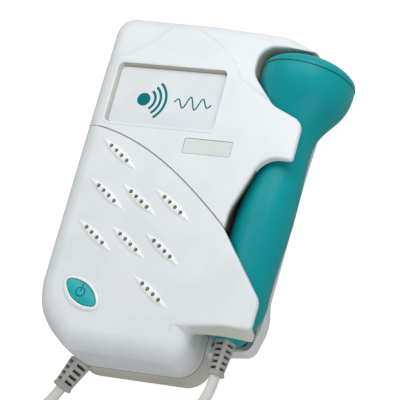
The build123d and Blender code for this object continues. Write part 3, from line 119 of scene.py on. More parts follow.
# ---- nodes ----
class Signal:
    """An output socket of a node. Sums and products of signals add Math nodes to their tree."""

    def __init__(self, sheet: "NodeSheet", socket: bpy.types.NodeSocket) -> None:
        """Wrap a socket of a tree."""
        self.sheet = sheet
        self.socket = socket

    def _math(self, operation: str, first: "Value", second: "Value" = 0.0) -> "Signal":
        """Add a Math node on two values."""
        return self.sheet.node("ShaderNodeMath", {"operation": operation}, {0: first, 1: second})

    def __add__(self, other: "Value") -> "Signal":
        """Sum."""
        return self._math("ADD", self, other)

    __radd__ = __add__

    def __sub__(self, other: "Value") -> "Signal":
        """Difference."""
        return self._math("SUBTRACT", self, other)

    def __rsub__(self, other: "Value") -> "Signal":
        """Difference from a number."""
        return self._math("SUBTRACT", other, self)

    def __mul__(self, other: "Value") -> "Signal":
        """Product."""
        return self._math("MULTIPLY", self, other)

    __rmul__ = __mul__

    def sine(self) -> "Signal":
        """Sine of an angle in radians."""
        return self._math("SINE", self)

    def other(self, name: str) -> "Signal":
        """Another output of the same node, by its name."""
        return Signal(self.sheet, self.socket.node.outputs[name])


Value = Union[float, Signal]


class NodeSheet:
    """A node tree under construction, of a material or of Geometry Nodes."""

    def __init__(self, tree: bpy.types.NodeTree) -> None:
        """Start from an empty tree."""
        tree.nodes.clear()
        self.tree = tree

    def node(
        self,
        kind: str,
        settings: dict[str, object] | None = None,
        inputs: dict[int | str, object] | None = None,
        output: int | str = 0,
    ) -> Signal | None:
        """Add one node.

        Args:
            kind: The node's type.
            settings: Its settings, which are set first. "stops" are a ramp's (position, colour) pairs.
            inputs: Values or signals for its input sockets, by name or place.
            output: The output socket that is wanted.

        Returns:
            That output, or None where the node has no output.
        """
        made = self.tree.nodes.new(kind)
        for name, value in (settings or {}).items():
            if name == "stops":
                self._set_stops(made.color_ramp, value)
            else:
                setattr(made, name, value)
        for name, value in (inputs or {}).items():
            if isinstance(value, Signal):
                self.tree.links.new(value.socket, made.inputs[name])
            else:
                made.inputs[name].default_value = value
        return Signal(self, made.outputs[output]) if len(made.outputs) else None

    @staticmethod
    def _set_stops(ramp: bpy.types.ColorRamp, stops: Sequence[tuple[float, Colour]]) -> None:
        """Give a ramp its stops.

        Args:
            ramp: The ramp.
            stops: Their positions and colours.
        """
        while len(ramp.elements) < len(stops):
            ramp.elements.new(1.0)
        for element, (position, colour) in zip(ramp.elements, stops):
            element.position = position
            element.color = (*colour, 1.0)

    def blend(self, share: Value, first: object, second: object) -> Signal:
        """Mix two colours.

        Args:
            share: How much of the second colour there is, 0 to 1.
            first: A colour or a signal.
            second: A colour or a signal.

        Returns:
            The mixed colour.
        """
        first, second = ((*c, 1.0) if isinstance(c, tuple) else c for c in (first, second))
        return self.node(
            "ShaderNodeMix", {"data_type": "RGBA"}, {0: share, 6: first, 7: second}, output=2
        )

    def cloud(self, place: Signal, size: float, detail: float = 2.0) -> Signal:
        """Soft noise whose patches are about a size, in millimetres."""
        scale = 1.0 / (size * MM)
        return self.node("ShaderNodeTexNoise", None, {"Vector": place, "Scale": scale, "Detail": detail})

    def band(self, value: Signal, start: float, end: float) -> Signal:
        """Rise smoothly from 0 to 1 while a value goes from start to end.

        Args:
            value: What is read.
            start: Where the rise starts.
            end: Where it ends.

        Returns:
            The risen share.
        """
        settings = {"interpolation_type": "SMOOTHSTEP"}
        inputs = {"Value": value, "From Min": start, "From Max": end}
        return self.node("ShaderNodeMapRange", settings, inputs)


# ---- finishes ----
@dataclass(frozen=True)
class Finish:
    """Moulded plastic or rubber: two close colours in soft patches, with a fine grain.

    Attributes:
        name: What the material is called.
        tone: Its usual colour.
        shade: The colour of its duller patches.
        slot: The record's slot that it belongs to. Not used.
        roughness: From 0, a mirror, to 1.
        spread: How much the roughness changes over the surface.
        patch: Size of the patches.
        grain: Size of the surface grain.
        relief: Height of the grain.
        metallic: 1 for bare metal.
        gleam: Strength of the mirror-like part, 0.5 on usual plastic.
    """

    name: str
    tone: Colour
    shade: Colour
    slot: str
    roughness: float = 0.42
    spread: float = 0.08
    patch: float = 18.0
    grain: float = 0.35
    relief: float = 0.006
    metallic: float = 0.0
    gleam: float = 0.5

    def colour(self, sheet: NodeSheet, place: Signal) -> Signal:
        """Colour over the surface.

        Args:
            sheet: The material's nodes.
            place: The piece's own coordinates.

        Returns:
            The colour signal.
        """
        patches = sheet.band(sheet.cloud(place, self.patch, 3.0), 0.35, 0.7)
        return sheet.blend(patches, self.tone, self.shade)

    def height(self, sheet: NodeSheet, place: Signal) -> Signal:
        """Relief of the grain, 0 to 1."""
        return sheet.cloud(place, self.grain, 1.0)

    def material(self) -> bpy.types.Material:
        """Make the Blender material, the first time that it is asked for.

        Returns:
            The material.
        """
        known = bpy.data.materials.get(self.name)
        if known:
            return known
        made = bpy.data.materials.new(self.name)
        made.use_nodes = True
        sheet = NodeSheet(made.node_tree)
        place = sheet.node("ShaderNodeTexCoord", output="Object")
        gloss = (sheet.cloud(place, self.patch / 3) - 0.5) * (2 * self.spread) + self.roughness
        bump = sheet.node(
            "ShaderNodeBump",
            None,
            {"Strength": 1.0, "Distance": self.relief * MM, "Height": self.height(sheet, place)},
        )
        shader = sheet.node(
            "ShaderNodeBsdfPrincipled",
            None,
            {
                "Base Color": self.colour(sheet, place),
                "Roughness": gloss,
                "Metallic": self.metallic,
                "Specular IOR Level": self.gleam,
                "Normal": bump,
            },
        )
        sheet.node("ShaderNodeOutputMaterial", None, {"Surface": shader})
        return made


@dataclass(frozen=True)
class Shade:
    """Box inside which a finish has another colour.

    Attributes:
        colour: The colour inside.
        low: Corner with the lowest coordinates.
        high: The opposite corner.
        soft: Distance over which the colour changes.
    """

    colour: Colour
    low: Point
    high: Point
    soft: float = 0.6

    def share(self, sheet: NodeSheet, across: Signal) -> Value:
        """How far inside a place is, 0 to 1.

        Args:
            sheet: The material's nodes.
            across: The place, with outputs X, Y and Z.

        Returns:
            The share.
        """
        inside: Value = 1.0
        for axis, low, high in zip("XYZ", self.low, self.high):
            along = across.other(axis)
            rising = sheet.band(along, low * MM, (low + self.soft) * MM)
            falling = 1.0 - sheet.band(along, (high - self.soft) * MM, high * MM)
            inside = rising * falling * inside
        return inside


@dataclass(frozen=True)
class ShadedFinish(Finish):
    """Plastic with other colours in some boxes of space, as on pocket walls that little light reaches.

    Attributes:
        shades: The boxes, of which a later one lies over an earlier.
    """

    shades: tuple[Shade, ...] = ()

    def colour(self, sheet: NodeSheet, place: Signal) -> Signal:
        """Colour over the surface, with each shade's own inside its box.

        Args:
            sheet: The material's nodes.
            place: The piece's own coordinates.

        Returns:
            The colour signal.
        """
        mixed = super().colour(sheet, place)
        across = sheet.node("ShaderNodeSeparateXYZ", None, {0: place})
        for shade in self.shades:
            mixed = sheet.blend(shade.share(sheet, across), mixed, shade.colour)
        return mixed


@dataclass(frozen=True)
class BoardFinish(Finish):
    """Circuit board: solder mask over faint copper tracks.

    Attributes:
        track: Colour of the tracks.
        pitch: Distance between tracks.
    """

    track: Colour = (0.05, 0.2, 0.06)
    pitch: float = 1.3

    def colour(self, sheet: NodeSheet, place: Signal) -> Signal:
        """Solder mask with tracks that step through cells.

        Args:
            sheet: The material's nodes.
            place: The piece's own coordinates.

        Returns:
            The colour signal.
        """
        plain = super().colour(sheet, place)
        cells = sheet.node(
            "ShaderNodeTexVoronoi",
            {"distance": "MANHATTAN", "feature": "F1"},
            {"Vector": place, "Scale": 1.0 / (self.pitch * MM)},
        )
        tracks = sheet.band(cells, 0.55, 0.6)
        return sheet.blend(tracks, plain, self.track)


@dataclass(frozen=True)
class BandedFinish(Finish):
    """Printed sleeve with rings of a second colour round an axis along Y.

    Attributes:
        ring: Colour of the rings.
        start: Y where the ringed end starts.
        pitch: Length of a ring and its gap.
    """

    ring: Colour = (0.5, 0.5, 0.48)
    start: float = 44.0
    pitch: float = 60.0

    def colour(self, sheet: NodeSheet, place: Signal) -> Signal:
        """Sleeve colour with rings by Y.

        Args:
            sheet: The material's nodes.
            place: The piece's own coordinates.

        Returns:
            The colour signal.
        """
        plain = super().colour(sheet, place)
        along = sheet.node("ShaderNodeSeparateXYZ", None, {0: place}).other("Y")
        wave = ((along - self.start * MM) * (2 * math.pi / (self.pitch * MM))).sine()
        return sheet.blend(sheet.band(wave, 0.0, 0.05), plain, self.ring)


SHELL = Finish(
    "shell_white", paint(226, 231, 234), paint(220, 226, 229), "shell", roughness=0.4, relief=0.004
)
COVER = ShadedFinish(
    "cover_white",
    SHELL.tone,
    SHELL.shade,
    "shell",
    roughness=0.4,
    relief=0.004,
    shades=(
        # painted shade on the covers' walls over the cradle, then on the hood's inner wall
        Shade(paint(150, 141, 130), (17.6, -51.4, 1.0), (90.0, 26.0, 31.0), 1.2),
        Shade(paint(216, 207, 190), (6.0, 26.0, 1.0), (90.0, 61.4, 32.0), 1.2),
        # painted shade on the window recess's head wall and left wall
        Shade(paint(176, 173, 160), (-38.6, 45.4, 31.0), (9.4, 50.0, 34.4), 0.2),
        Shade(paint(200, 199, 190), (-38.6, 22.0, 31.0), (-35.6, 50.0, 34.4), 0.2),
        # painted shade on the lower finger's end wall, and on the waist below the covers' edge
        Shade(paint(206, 210, 203), (17.0, -60.0, 20.0), (46.0, -50.0, 35.4), 2.6),
        Shade(paint(132, 124, 115), (16.0, -24.0, 1.0), (60.0, 10.0, 33.4), 0.8),
    ),
)
# painted shade of the cradle's pocket, for its floor and for its inner walls
POCKET_FLOOR_SHADE = paint(84, 70, 58)
POCKET_WALL_SHADE = paint(184, 174, 150)
TRAY = ShadedFinish(
    "tray_white",
    SHELL.tone,
    SHELL.shade,
    "shell",
    roughness=0.42,
    relief=0.004,
    shades=(
        # painted shade on the pocket's floor, then on its inner walls
        Shade(POCKET_FLOOR_SHADE, (18.3, -44.0, 1.0), (34.2, 60.5, 3.4), 0.3),
        Shade(POCKET_FLOOR_SHADE, (18.3, -51.7, 1.0), (31.0, 60.5, 3.4), 0.3),
        Shade(POCKET_WALL_SHADE, (18.3, -44.0, 3.2), (34.0, 60.5, 7.6), 0.3),
        Shade(POCKET_WALL_SHADE, (18.3, -51.7, 3.2), (31.0, 60.5, 7.6), 0.3),
        # painted shadow on the rim's inner edge beside the probe's tail
        Shade(paint(96, 80, 64), (24.0, -52.2, 7.9), (34.6, -30.0, 9.6), 0.5),
        # painted shade on the foot's wall, and in the open line under the covers
        Shade(paint(206, 205, 194), (-60.0, -72.0, -2.0), (20.0, -56.0, 12.3), 1.0),
        Shade(paint(92, 93, 82), (-60.0, -72.0, 12.02), (19.0, 72.0, 12.9), 0.05),
    ),
)
# ribs and button rim: the cover's white painted lighter, as a highlight on their raised tops
RIB_HIGHLIGHT = Finish("rib_white", paint(247, 249, 249), paint(241, 243, 242), "shell", roughness=0.36, relief=0.003)
WINDOW = Finish(
    "window_film", paint(220, 225, 228), paint(215, 221, 224), "window", roughness=0.32, relief=0.001, gleam=0.4
)
PLATE = Finish("plate_pale", paint(212, 218, 215), paint(206, 212, 209), "plate", roughness=0.4, relief=0.002)
# grey-olive painted shade of the covers' joint, on a filler level with the face
GROOVE_SHADE = Finish("groove_olive", paint(150, 153, 144), paint(140, 143, 134), "plate", roughness=0.8, gleam=0.1)
# olive painted shade of the sound holes, laid on discs just under their mouths
HOLE_SHADE = Finish("sound_hole", paint(138, 134, 104), paint(128, 124, 96), "plate", roughness=0.9, gleam=0.1)
PRINT = Finish(
    "print_teal", paint(0, 118, 126), paint(0, 112, 120), "window", roughness=0.7, relief=0.001, gleam=0.1
)
TEAL = Finish(
    "probe_teal", paint(0, 148, 154), paint(0, 142, 148), "teal", roughness=0.36, relief=0.003, gleam=0.18
)
SEAL = Finish("seal_dark_teal", paint(6, 78, 82), paint(4, 66, 70), "seal", roughness=0.6)
BUTTON = Finish(
    "button_teal", paint(26, 176, 183), paint(20, 168, 175), "button", roughness=0.34, relief=0.002, gleam=0.35
)
SYMBOL = Finish("symbol_teal", paint(0, 118, 127), paint(0, 111, 120), "button", roughness=0.7, gleam=0.1)
BOOT = Finish("boot_grey", paint(176, 177, 172), paint(168, 169, 164), "cord", roughness=0.55, relief=0.01)
CORD = Finish("cord_grey", paint(224, 223, 219), paint(217, 216, 212), "cord", roughness=0.45, relief=0.004)
# painted shade inside the boots' windows, on a core under them
SLOT_SHADE = Finish("boot_slot", paint(84, 85, 82), paint(74, 75, 72), "cord", roughness=0.85, gleam=0.2)
STRAP = Finish("strap_black", paint(44, 46, 48), paint(34, 36, 38), "foam", roughness=0.85, grain=0.25, relief=0.05)
# the cradle's saddle, painted the brown of the pocket's shade
SADDLE_SHADE = Finish("saddle_taupe", paint(104, 90, 78), paint(94, 80, 70), "dark_plastic", roughness=0.6)
HOLDER = Finish("holder_black", paint(40, 41, 42), paint(32, 33, 34), "black_plastic", roughness=0.6)
CELL = BandedFinish("cell_sleeve", paint(34, 84, 82), paint(28, 76, 74), "cell", roughness=0.25)
NICKEL = Finish(
    "nickel_plate", paint(206, 204, 198), paint(188, 186, 180), "spring_steel", roughness=0.28, metallic=1.0
)
ZINC = Finish(
    "zinc_plate", paint(186, 188, 192), paint(160, 163, 168), "screw", roughness=0.34, patch=3.0, metallic=1.0
)
BOARD = BoardFinish("board_green", paint(18, 84, 44), paint(14, 74, 38), "board", roughness=0.4)
CHIP = Finish("chip_epoxy", paint(34, 35, 37), paint(27, 28, 30), "chip", roughness=0.55, grain=0.12, relief=0.01)
FOAM = Finish("foam_black", paint(38, 38, 40), paint(28, 28, 30), "foam", roughness=0.95, grain=0.5, relief=0.08)
BASKET = Finish("basket_black", paint(48, 49, 52), paint(38, 39, 42), "basket", roughness=0.45)
PAPER = Finish("cone_paper", paint(52, 50, 48), paint(40, 38, 37), "paper", roughness=0.9, grain=0.6, relief=0.05)
MAGNET = Finish("magnet_plate", paint(132, 134, 138), paint(112, 114, 118), "magnet", roughness=0.35, metallic=1.0)
WHEEL = Finish("wheel_grey", paint(94, 97, 101), paint(84, 87, 91), "wheel", roughness=0.6, relief=0.01)
CERAMIC = Finish("ceramic_silvered", paint(206, 200, 186), paint(194, 188, 174), "ceramic", roughness=0.4)

INNER_FINISHES: dict[str, Finish] = {
    "battery_holder": HOLDER,
    "battery_cells": CELL,
    "battery_contacts": NICKEL,
    "battery_springs": NICKEL,
    "main_board": BOARD,
    "board_chips": CHIP,
    "board_screws": ZINC,
    "speaker_gasket": FOAM,
    "speaker_basket": BASKET,
    "speaker_cone": PAPER,
    "speaker_magnet": MAGNET,
    "speaker_screws": ZINC,
    "key_board": BOARD,
    "key_board_screws": ZINC,
    "power_switch": CHIP,
    "switch_plunger": BUTTON,
    "control_board": BOARD,
    "control_board_screws": ZINC,
    "volume_potentiometer": CHIP,
    "probe_crystals": CERAMIC,
    "probe_backing": FOAM,
    "probe_board": BOARD,
}


# ---- meshes ----
def body_of(node: str) -> str:
    """The body that a CAD node moves with."""
    return frame["nodes"][node]["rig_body"]


def fresh_object(name: str, mesh: bpy.types.Mesh) -> bpy.types.Object:
    """Put a mesh in the scene as an object at the origin.

    Args:
        name: The object's name.
        mesh: Its mesh, in place.

    Returns:
        The object.
    """
    made = bpy.data.objects.new(name, mesh)
    bpy.context.scene.collection.objects.link(made)
    return made


def from_points(name: str, points: Sequence[Vector], faces: Sequence[Sequence[int]]) -> bpy.types.Object:
    """Make an object of points and faces.

    Args:
        name: The object's name.
        points: Its points, in metres.
        faces: Its faces, as places in the points.

    Returns:
        The object, with doubled points merged and all faces pointing outwards.
    """
    mesh = bpy.data.meshes.new(name)
    mesh.from_pydata([tuple(p) for p in points], [], [tuple(f) for f in faces])
    work = bmesh.new()
    work.from_mesh(mesh)
    bmesh.ops.remove_doubles(work, verts=work.verts, dist=1e-7)
    bmesh.ops.dissolve_degenerate(work, edges=work.edges, dist=1e-8)
    bmesh.ops.recalc_face_normals(work, faces=work.faces)
    work.to_mesh(mesh)
    work.free()
    return fresh_object(name, mesh)


def soften(piece: bpy.types.Object, crease: float = 35.0) -> bpy.types.Object:
    """Shade a piece smoothly, apart from its sharp edges.

    Args:
        piece: The piece.
        crease: Angle in degrees past which an edge stays sharp.

    Returns:
        The piece as a plain mesh.
    """
    work = bmesh.new()
    work.from_mesh(piece.data)
    for face in work.faces:
        face.smooth = True
    for edge in work.edges:
        edge.smooth = len(edge.link_faces) == 2 and edge.calc_face_angle(math.pi) < math.radians(crease)
    work.to_mesh(piece.data)
    work.free()
    weighted = piece.modifiers.new("Weighted", "WEIGHTED_NORMAL")
    weighted.keep_sharp = True
    return settled(piece)


def settled(piece: bpy.types.Object) -> bpy.types.Object:
    """Turn a piece and its modifiers into a plain mesh of the same name.

    Args:
        piece: The piece, which is dropped.

    Returns:
        The plain one.
    """
    name = piece.name
    bpy.context.view_layer.update()
    graph = bpy.context.evaluated_depsgraph_get()
    mesh = bpy.data.meshes.new_from_object(
        piece.evaluated_get(graph), preserve_all_data_layers=True, depsgraph=graph
    )
    bpy.data.objects.remove(piece)
    mesh.name = name
    return fresh_object(name, mesh)


def dress(piece: bpy.types.Object, finish: Finish, body: str) -> bpy.types.Object:
    """Give a piece its finish, and let it ride on a body.

    Args:
        piece: The piece.
        finish: What it is made of.
        body: The body that it moves with.

    Returns:
        The same piece.
    """
    piece.data.materials.clear()
    piece.data.materials.append(finish.material())
    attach(piece, body)
    LOG.info("%s: %d faces on %s", piece.name, len(piece.data.polygons), body)
    return piece


def skin_of(
    node: str, name: str, crease: float = 30.0, form: Form | None = None, cuts: Sequence[Plane] = ()
) -> bpy.types.Object:
    """Copy a CAD node's mesh as one closed, smoothly shaded skin.

    Args:
        node: The CAD node.
        name: The new piece's name.
        crease: Angle in degrees past which an edge stays sharp.
        form: Where each place of the skin goes, both in millimetres.
        cuts: Planes that add edges for the form to bend, as (point, normal) in millimetres.

    Returns:
        The skin, not yet dressed.
    """
    work = bmesh.new()
    work.from_mesh(frame["nodes"][node].data)
    bmesh.ops.remove_doubles(work, verts=work.verts, dist=2e-6)
    for point, normal in cuts:
        every = [*work.verts, *work.edges, *work.faces]
        bmesh.ops.bisect_plane(work, geom=every, plane_co=point * MM, plane_no=normal, dist=1e-6)
    if form:
        for vertex in work.verts:
            vertex.co = form(vertex.co / MM) * MM
    mesh = bpy.data.meshes.new(name)
    work.to_mesh(mesh)
    work.free()
    normals = mesh.attributes.get("custom_normal")
    if normals:
        mesh.attributes.remove(normals)
    piece = soften(fresh_object(name, mesh), crease)
    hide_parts(node)
    return piece


class Rings:
    """A tube-like mesh built as rings of equally many points."""

    def __init__(self) -> None:
        """Start without rings."""
        self.points: list[Vector] = []
        self.faces: list[list[int]] = []
        self.count = 0

    def add(self, ring: Sequence[Vector]) -> None:
        """Add a ring, joined to the one before it.

        Args:
            ring: Its points, as many as in the ring before.
        """
        start = len(self.points)
        self.points.extend(ring)
        if self.count:
            for i in range(self.count):
                after = (i + 1) % self.count
                self.faces.append([start - self.count + i, start - self.count + after, start + after, start + i])
        self.count = len(ring)

    def close(self, first: bool = True, last: bool = True) -> None:
        """Close the ends with a fan to each ring's middle.

        Args:
            first: Whether the first ring is closed.
            last: Whether the last one is.
        """
        ends = ([0] if first else []) + ([len(self.points) - self.count] if last else [])
        for start in ends:
            ring = range(start, start + self.count)
            middle = sum((self.points[i] for i in ring), Vector()) / self.count
            self.points.append(middle)
            hub = len(self.points) - 1
            for i in ring:
                self.faces.append([i, start + (i - start + 1) % self.count, hub])

    def join(self) -> None:
        """Join the last ring to the first, for a closed loop."""
        start = len(self.points) - self.count
        for i in range(self.count):
            after = (i + 1) % self.count
            self.faces.append([start + i, start + after, after, i])

    def build(self, name: str) -> bpy.types.Object:
        """Make the object."""
        return from_points(name, self.points, self.faces)


def merged(name: str, parts: Sequence[Rings]) -> bpy.types.Object:
    """Make one object of several ring meshes.

    Args:
        name: The object's name.
        parts: The meshes, which don't touch.

    Returns:
        The object.
    """
    points: list[Vector] = []
    faces: list[list[int]] = []
    for part in parts:
        start = len(points)
        points += part.points
        faces += [[start + i for i in face] for face in part.faces]
    return from_points(name, points, faces)


def circle(radius: float, z: float, count: int, x: float = 0.0, y: float = 0.0) -> list[Vector]:
    """Place points round an upright axis.

    Args:
        radius: The circle's radius.
        z: Its height.
        count: How many points it has.
        x: Where the axis stands.
        y: Where the axis stands.

    Returns:
        The points, in metres.
    """
    angles = [2 * math.pi * k / count for k in range(count)]
    return [mm(x + radius * math.cos(a), y + radius * math.sin(a), z) for a in angles]


def rounded_box(half_w: float, half_h: float, radius: float, steps: int) -> list[Point]:
    """Go round a rectangle with round corners, centred on the origin.

    Args:
        half_w: Half of its width.
        half_h: Half of its height.
        radius: Of its corners.
        steps: How many steps each corner has.

    Returns:
        Its points, each with the direction that it faces as an angle in radians.
    """
    path = []
    for side_x, side_y, start in ((1, 1, 0), (-1, 1, 90), (-1, -1, 180), (1, -1, 270)):
        for i in range(steps + 1):
            angle = math.radians(start + 90 * i / steps)
            cx, cy = side_x * (half_w - radius), side_y * (half_h - radius)
            path.append((cx + radius * math.cos(angle), cy + radius * math.sin(angle), angle))
    return path


def leaf_outline(length: float, width: float, tip: float, count: int) -> list[Flat]:
    """Outline of a leaf of two arcs, with rounded tips, long along X.

    Args:
        length: From tip to tip, before rounding.
        width: Across the middle.
        tip: Radius of the rounded tips.
        count: How many points there are from tip to tip on one side.

    Returns:
        The outline's points, counter-clockwise.
    """
    half, rise = length / 2, width / 2
    radius = (half**2 + rise**2) / (2 * rise)
    drop = radius - rise
    reach = math.sqrt((radius - tip) ** 2 - drop**2) if tip else half
    turn = math.atan2(drop, reach)
    side = []
    tip_count = max(count // 4, 1) if tip else 0
    for i in range(tip_count):
        angle = turn * i / tip_count
        side.append((reach + tip * math.cos(angle), tip * math.sin(angle)))
    arc_start, arc_end = turn, math.pi - turn
    steps = count - 2 * tip_count
    for i in range(steps + 1):
        angle = arc_start + (arc_end - arc_start) * i / steps
        side.append((radius * math.cos(angle), radius * math.sin(angle) - drop))
    side += [(-x, y) for x, y in reversed(side[:tip_count])]
    return side + [(x, -y) for x, y in reversed(side[1:-1])]


def cut(piece: bpy.types.Object, tool: bpy.types.Object) -> bpy.types.Object:
    """Cut a closed tool out of a piece, and drop the tool.

    Args:
        piece: The piece, which is dropped.
        tool: The closed tool.

    Returns:
        The cut piece.
    """
    modifier = piece.modifiers.new("Cut", "BOOLEAN")
    modifier.operation = "DIFFERENCE"
    modifier.solver = "EXACT"
    modifier.object = tool
    result = settled(piece)
    bpy.data.objects.remove(tool)
    return result


def ribbon(centre: Sequence[Flat], stroke: float, level: float, ink: float) -> Rings:
    """Lay a flat ribbon of ink along a line.

    Args:
        centre: The line's points.
        stroke: The ribbon's width.
        level: Height of the surface that it lies on.
        ink: How far it stands above and reaches below that surface.

    Returns:
        The ribbon's rings, closed at both ends.
    """
    part = Rings()
    for i, (x, y) in enumerate(centre):
        (x0, y0), (x1, y1) = centre[max(i - 1, 0)], centre[min(i + 1, len(centre) - 1)]
        run = math.hypot(x1 - x0, y1 - y0)
        nx, ny = -(y1 - y0) / run * stroke / 2, (x1 - x0) / run * stroke / 2
        sides = ((nx, ny, -ink), (nx, ny, ink), (-nx, -ny, ink), (-nx, -ny, -ink))
        part.add([mm(x + dx, y + dy, level + dz) for dx, dy, dz in sides])
    part.close()
    return part


# ---- repeats ----
class Repeater:
    """Geometry Nodes that set a part at each point of a mesh, turned by an angle."""

    def __init__(self, name: str) -> None:
        """Build the tree.

        Args:
            name: What the tree is called.
        """
        tree = bpy.data.node_groups.new(name, "GeometryNodeTree")
        sheet = NodeSheet(tree)
        self.inputs: dict[str, str] = {}
        for label, kind in (
            ("Spots", "NodeSocketGeometry"),
            ("Part", "NodeSocketObject"),
            ("Turn", "NodeSocketVector"),
            ("Size", "NodeSocketFloat"),
            ("Finish", "NodeSocketMaterial"),
        ):
            socket = tree.interface.new_socket(name=label, in_out="INPUT", socket_type=kind)
            self.inputs[label] = socket.identifier
        tree.interface.new_socket(name="Parts", in_out="OUTPUT", socket_type="NodeSocketGeometry")
        given = sheet.node("NodeGroupInput")
        part = sheet.node("GeometryNodeObjectInfo", None, {"Object": given.other("Part")}, output="Geometry")
        placed = sheet.node(
            "GeometryNodeInstanceOnPoints",
            None,
            {
                "Points": given.other("Spots"),
                "Instance": part,
                "Rotation": given.other("Turn"),
                "Scale": given.other("Size"),
            },
        )
        real = sheet.node("GeometryNodeRealizeInstances", None, {0: placed})
        dressed = sheet.node(
            "GeometryNodeSetMaterial", None, {"Geometry": real, "Material": given.other("Finish")}
        )
        sheet.node("NodeGroupOutput", None, {0: dressed})
        self.tree = tree

    def repeat(
        self, name: str, part: bpy.types.Object, spots: Sequence[Vector], turn: Point, finish: Finish
    ) -> bpy.types.Object:
        """Set a part at several spots as one plain mesh, and drop the part.

        Args:
            name: The piece's name.
            part: What is repeated, built round the origin.
            spots: Where it goes, in metres.
            turn: Its turn about X, Y and Z, in radians.
            finish: Its finish.

        Returns:
            The piece, not yet dressed.
        """
        mesh = bpy.data.meshes.new(name)
        mesh.from_pydata([tuple(s) for s in spots], [], [])
        piece = fresh_object(name, mesh)
        modifier = piece.modifiers.new("Repeat", "NODES")
        modifier.node_group = self.tree
        modifier[self.inputs["Part"]] = part
        modifier[self.inputs["Turn"]] = turn
        modifier[self.inputs["Size"]] = 1.0
        modifier[self.inputs["Finish"]] = finish.material()
        result = settled(piece)
        bpy.data.objects.remove(part)
        return result


# ---- housing ----
@dataclass
class Grille:
    """The eight leaf-shaped ribs over the speaker, each with four sound holes."""

    face_z: float = FACE_Z
    length: float = 20.6
    width: float = 3.7
    crown: float = 1.0  # height of a rib's middle over the face
    sunk: float = 0.4  # how far its foot reaches below the face
    turn: float = -34.7  # degrees from X

    hole_r: float = 0.85
    flare: float = 0.22  # how much a hole widens at its mouth
    pitch: float = 3.2
    holes: int = 4
    shade_disc_r: float = 0.98
    shade_disc_thick: float = 0.25
    shade_disc_drop: float = 0.15  # of its top below the face
    skin_drop: float = 0.05  # of the cover's own ribs, which the full ones hide
    spots: tuple[Flat, ...] = (
        (-26.8, 10.1),
        (-27.4, -6.6),
        (-13.7, -7.6),
        (0.2, -8.3),
        (-27.5, -23.7),
        (-13.4, -24.9),
        (0.7, -26.0),
        (0.7, -43.1),
    )

    def crown_at(self, along: float, across: float) -> float:
        """Height of a rib at shares from -1 to 1 along and across it."""
        return self.crown * max(1 - along**2, 0.0) ** 0.75 * max(1 - across**2, 0.0) ** 0.62

    def rib(self) -> bpy.types.Object:
        """Make one rib round the origin, closed below, with its holes.

        Returns:
            The rib.
        """
        along_count, across_count = 64, 14
        rings = Rings()
        for i in range(1, along_count):
            along = -math.cos(math.pi * i / along_count)
            x, half = along * self.length / 2, self.width / 2 * (1 - along**2)
            ring = []
            for k in range(across_count + 1):
                across = -math.cos(math.pi * k / across_count)
                ring.append(mm(x, across * half, self.crown_at(along, across)))
            rings.add([*ring, mm(x, half, -self.sunk), mm(x, -half, -self.sunk)])
        rings.close()
        return cut(rings.build("rib"), self.drill())

    def drill(self) -> bpy.types.Object:
        """Make the tool that cuts a rib's holes, with a small flare at each mouth.

        Returns:
            The tool.
        """
        bits = []
        for x in self.hole_steps():
            mouth = self.crown_at(2 * x / self.length, 0.0)
            bit = Rings()
            for radius, z in (
                (self.hole_r, -2 * self.sunk),
                (self.hole_r, mouth - self.flare - 0.12),
                (self.hole_r + self.flare / 3, mouth - self.flare / 2 - 0.12),
                (self.hole_r + self.flare, mouth - 0.1),
                (self.hole_r + 3 * self.flare, mouth + 0.4),
            ):
                bit.add(circle(radius, z, 28, x))
            bit.close()
            bits.append(bit)
        return merged("rib_drill", bits)

    def hole_steps(self) -> list[float]:
        """Where the holes stand along a rib."""
        return [(i - (self.holes - 1) / 2) * self.pitch for i in range(self.holes)]

    def build(self, repeater: Repeater) -> None:
        """Set the ribs on the front face, and below each hole a disc painted with the hole's shade.

        Args:
            repeater: The tree that sets them at their spots.
        """
        spots = [mm(x, y, self.face_z) for x, y in self.spots]
        turn = (0.0, 0.0, math.radians(self.turn))
        # the ribs' white is painted lighter than the cover's, as a highlight
        ribs = repeater.repeat("speaker_ribs", self.rib(), spots, turn, RIB_HIGHLIGHT)
        dress(soften(ribs, 40.0), RIB_HIGHLIGHT, "unit")
        # a disc under each hole, painted with the hole's shade
        screen = Rings()
        for z in (-self.shade_disc_thick, 0.0):
            screen.add(circle(self.shade_disc_r, z, 20))
        screen.close()
        heading = Vector((math.cos(turn[2]), math.sin(turn[2]), 0.0)) * MM
        below = mm(0.0, 0.0, -self.shade_disc_drop)
        places = [spot + heading * step + below for spot in spots for step in self.hole_steps()]
        made = repeater.repeat("sound_hole_screens", screen.build("screen"), places, turn, HOLE_SHADE)
        dress(made, HOLE_SHADE, "unit")

    def level(self, skin: bpy.types.Object) -> None:
        """Lower the skin's plain ribs to just under the face, where the full ribs cover them.

        Args:
            skin: The lower cover's skin.
        """
        turn = math.radians(self.turn)
        for vertex in skin.data.vertices:
            if vertex.co.z < (self.face_z + FACE_TOLERANCE) * MM:
                continue
            for x, y in self.spots:
                dx, dy = vertex.co.x / MM - x, vertex.co.y / MM - y
                along = dx * math.cos(turn) + dy * math.sin(turn)
                across = dy * math.cos(turn) - dx * math.sin(turn)
                if abs(along) < self.length / 2 and abs(across) < self.width / 2:
                    vertex.co.z = (self.face_z - self.skin_drop) * MM


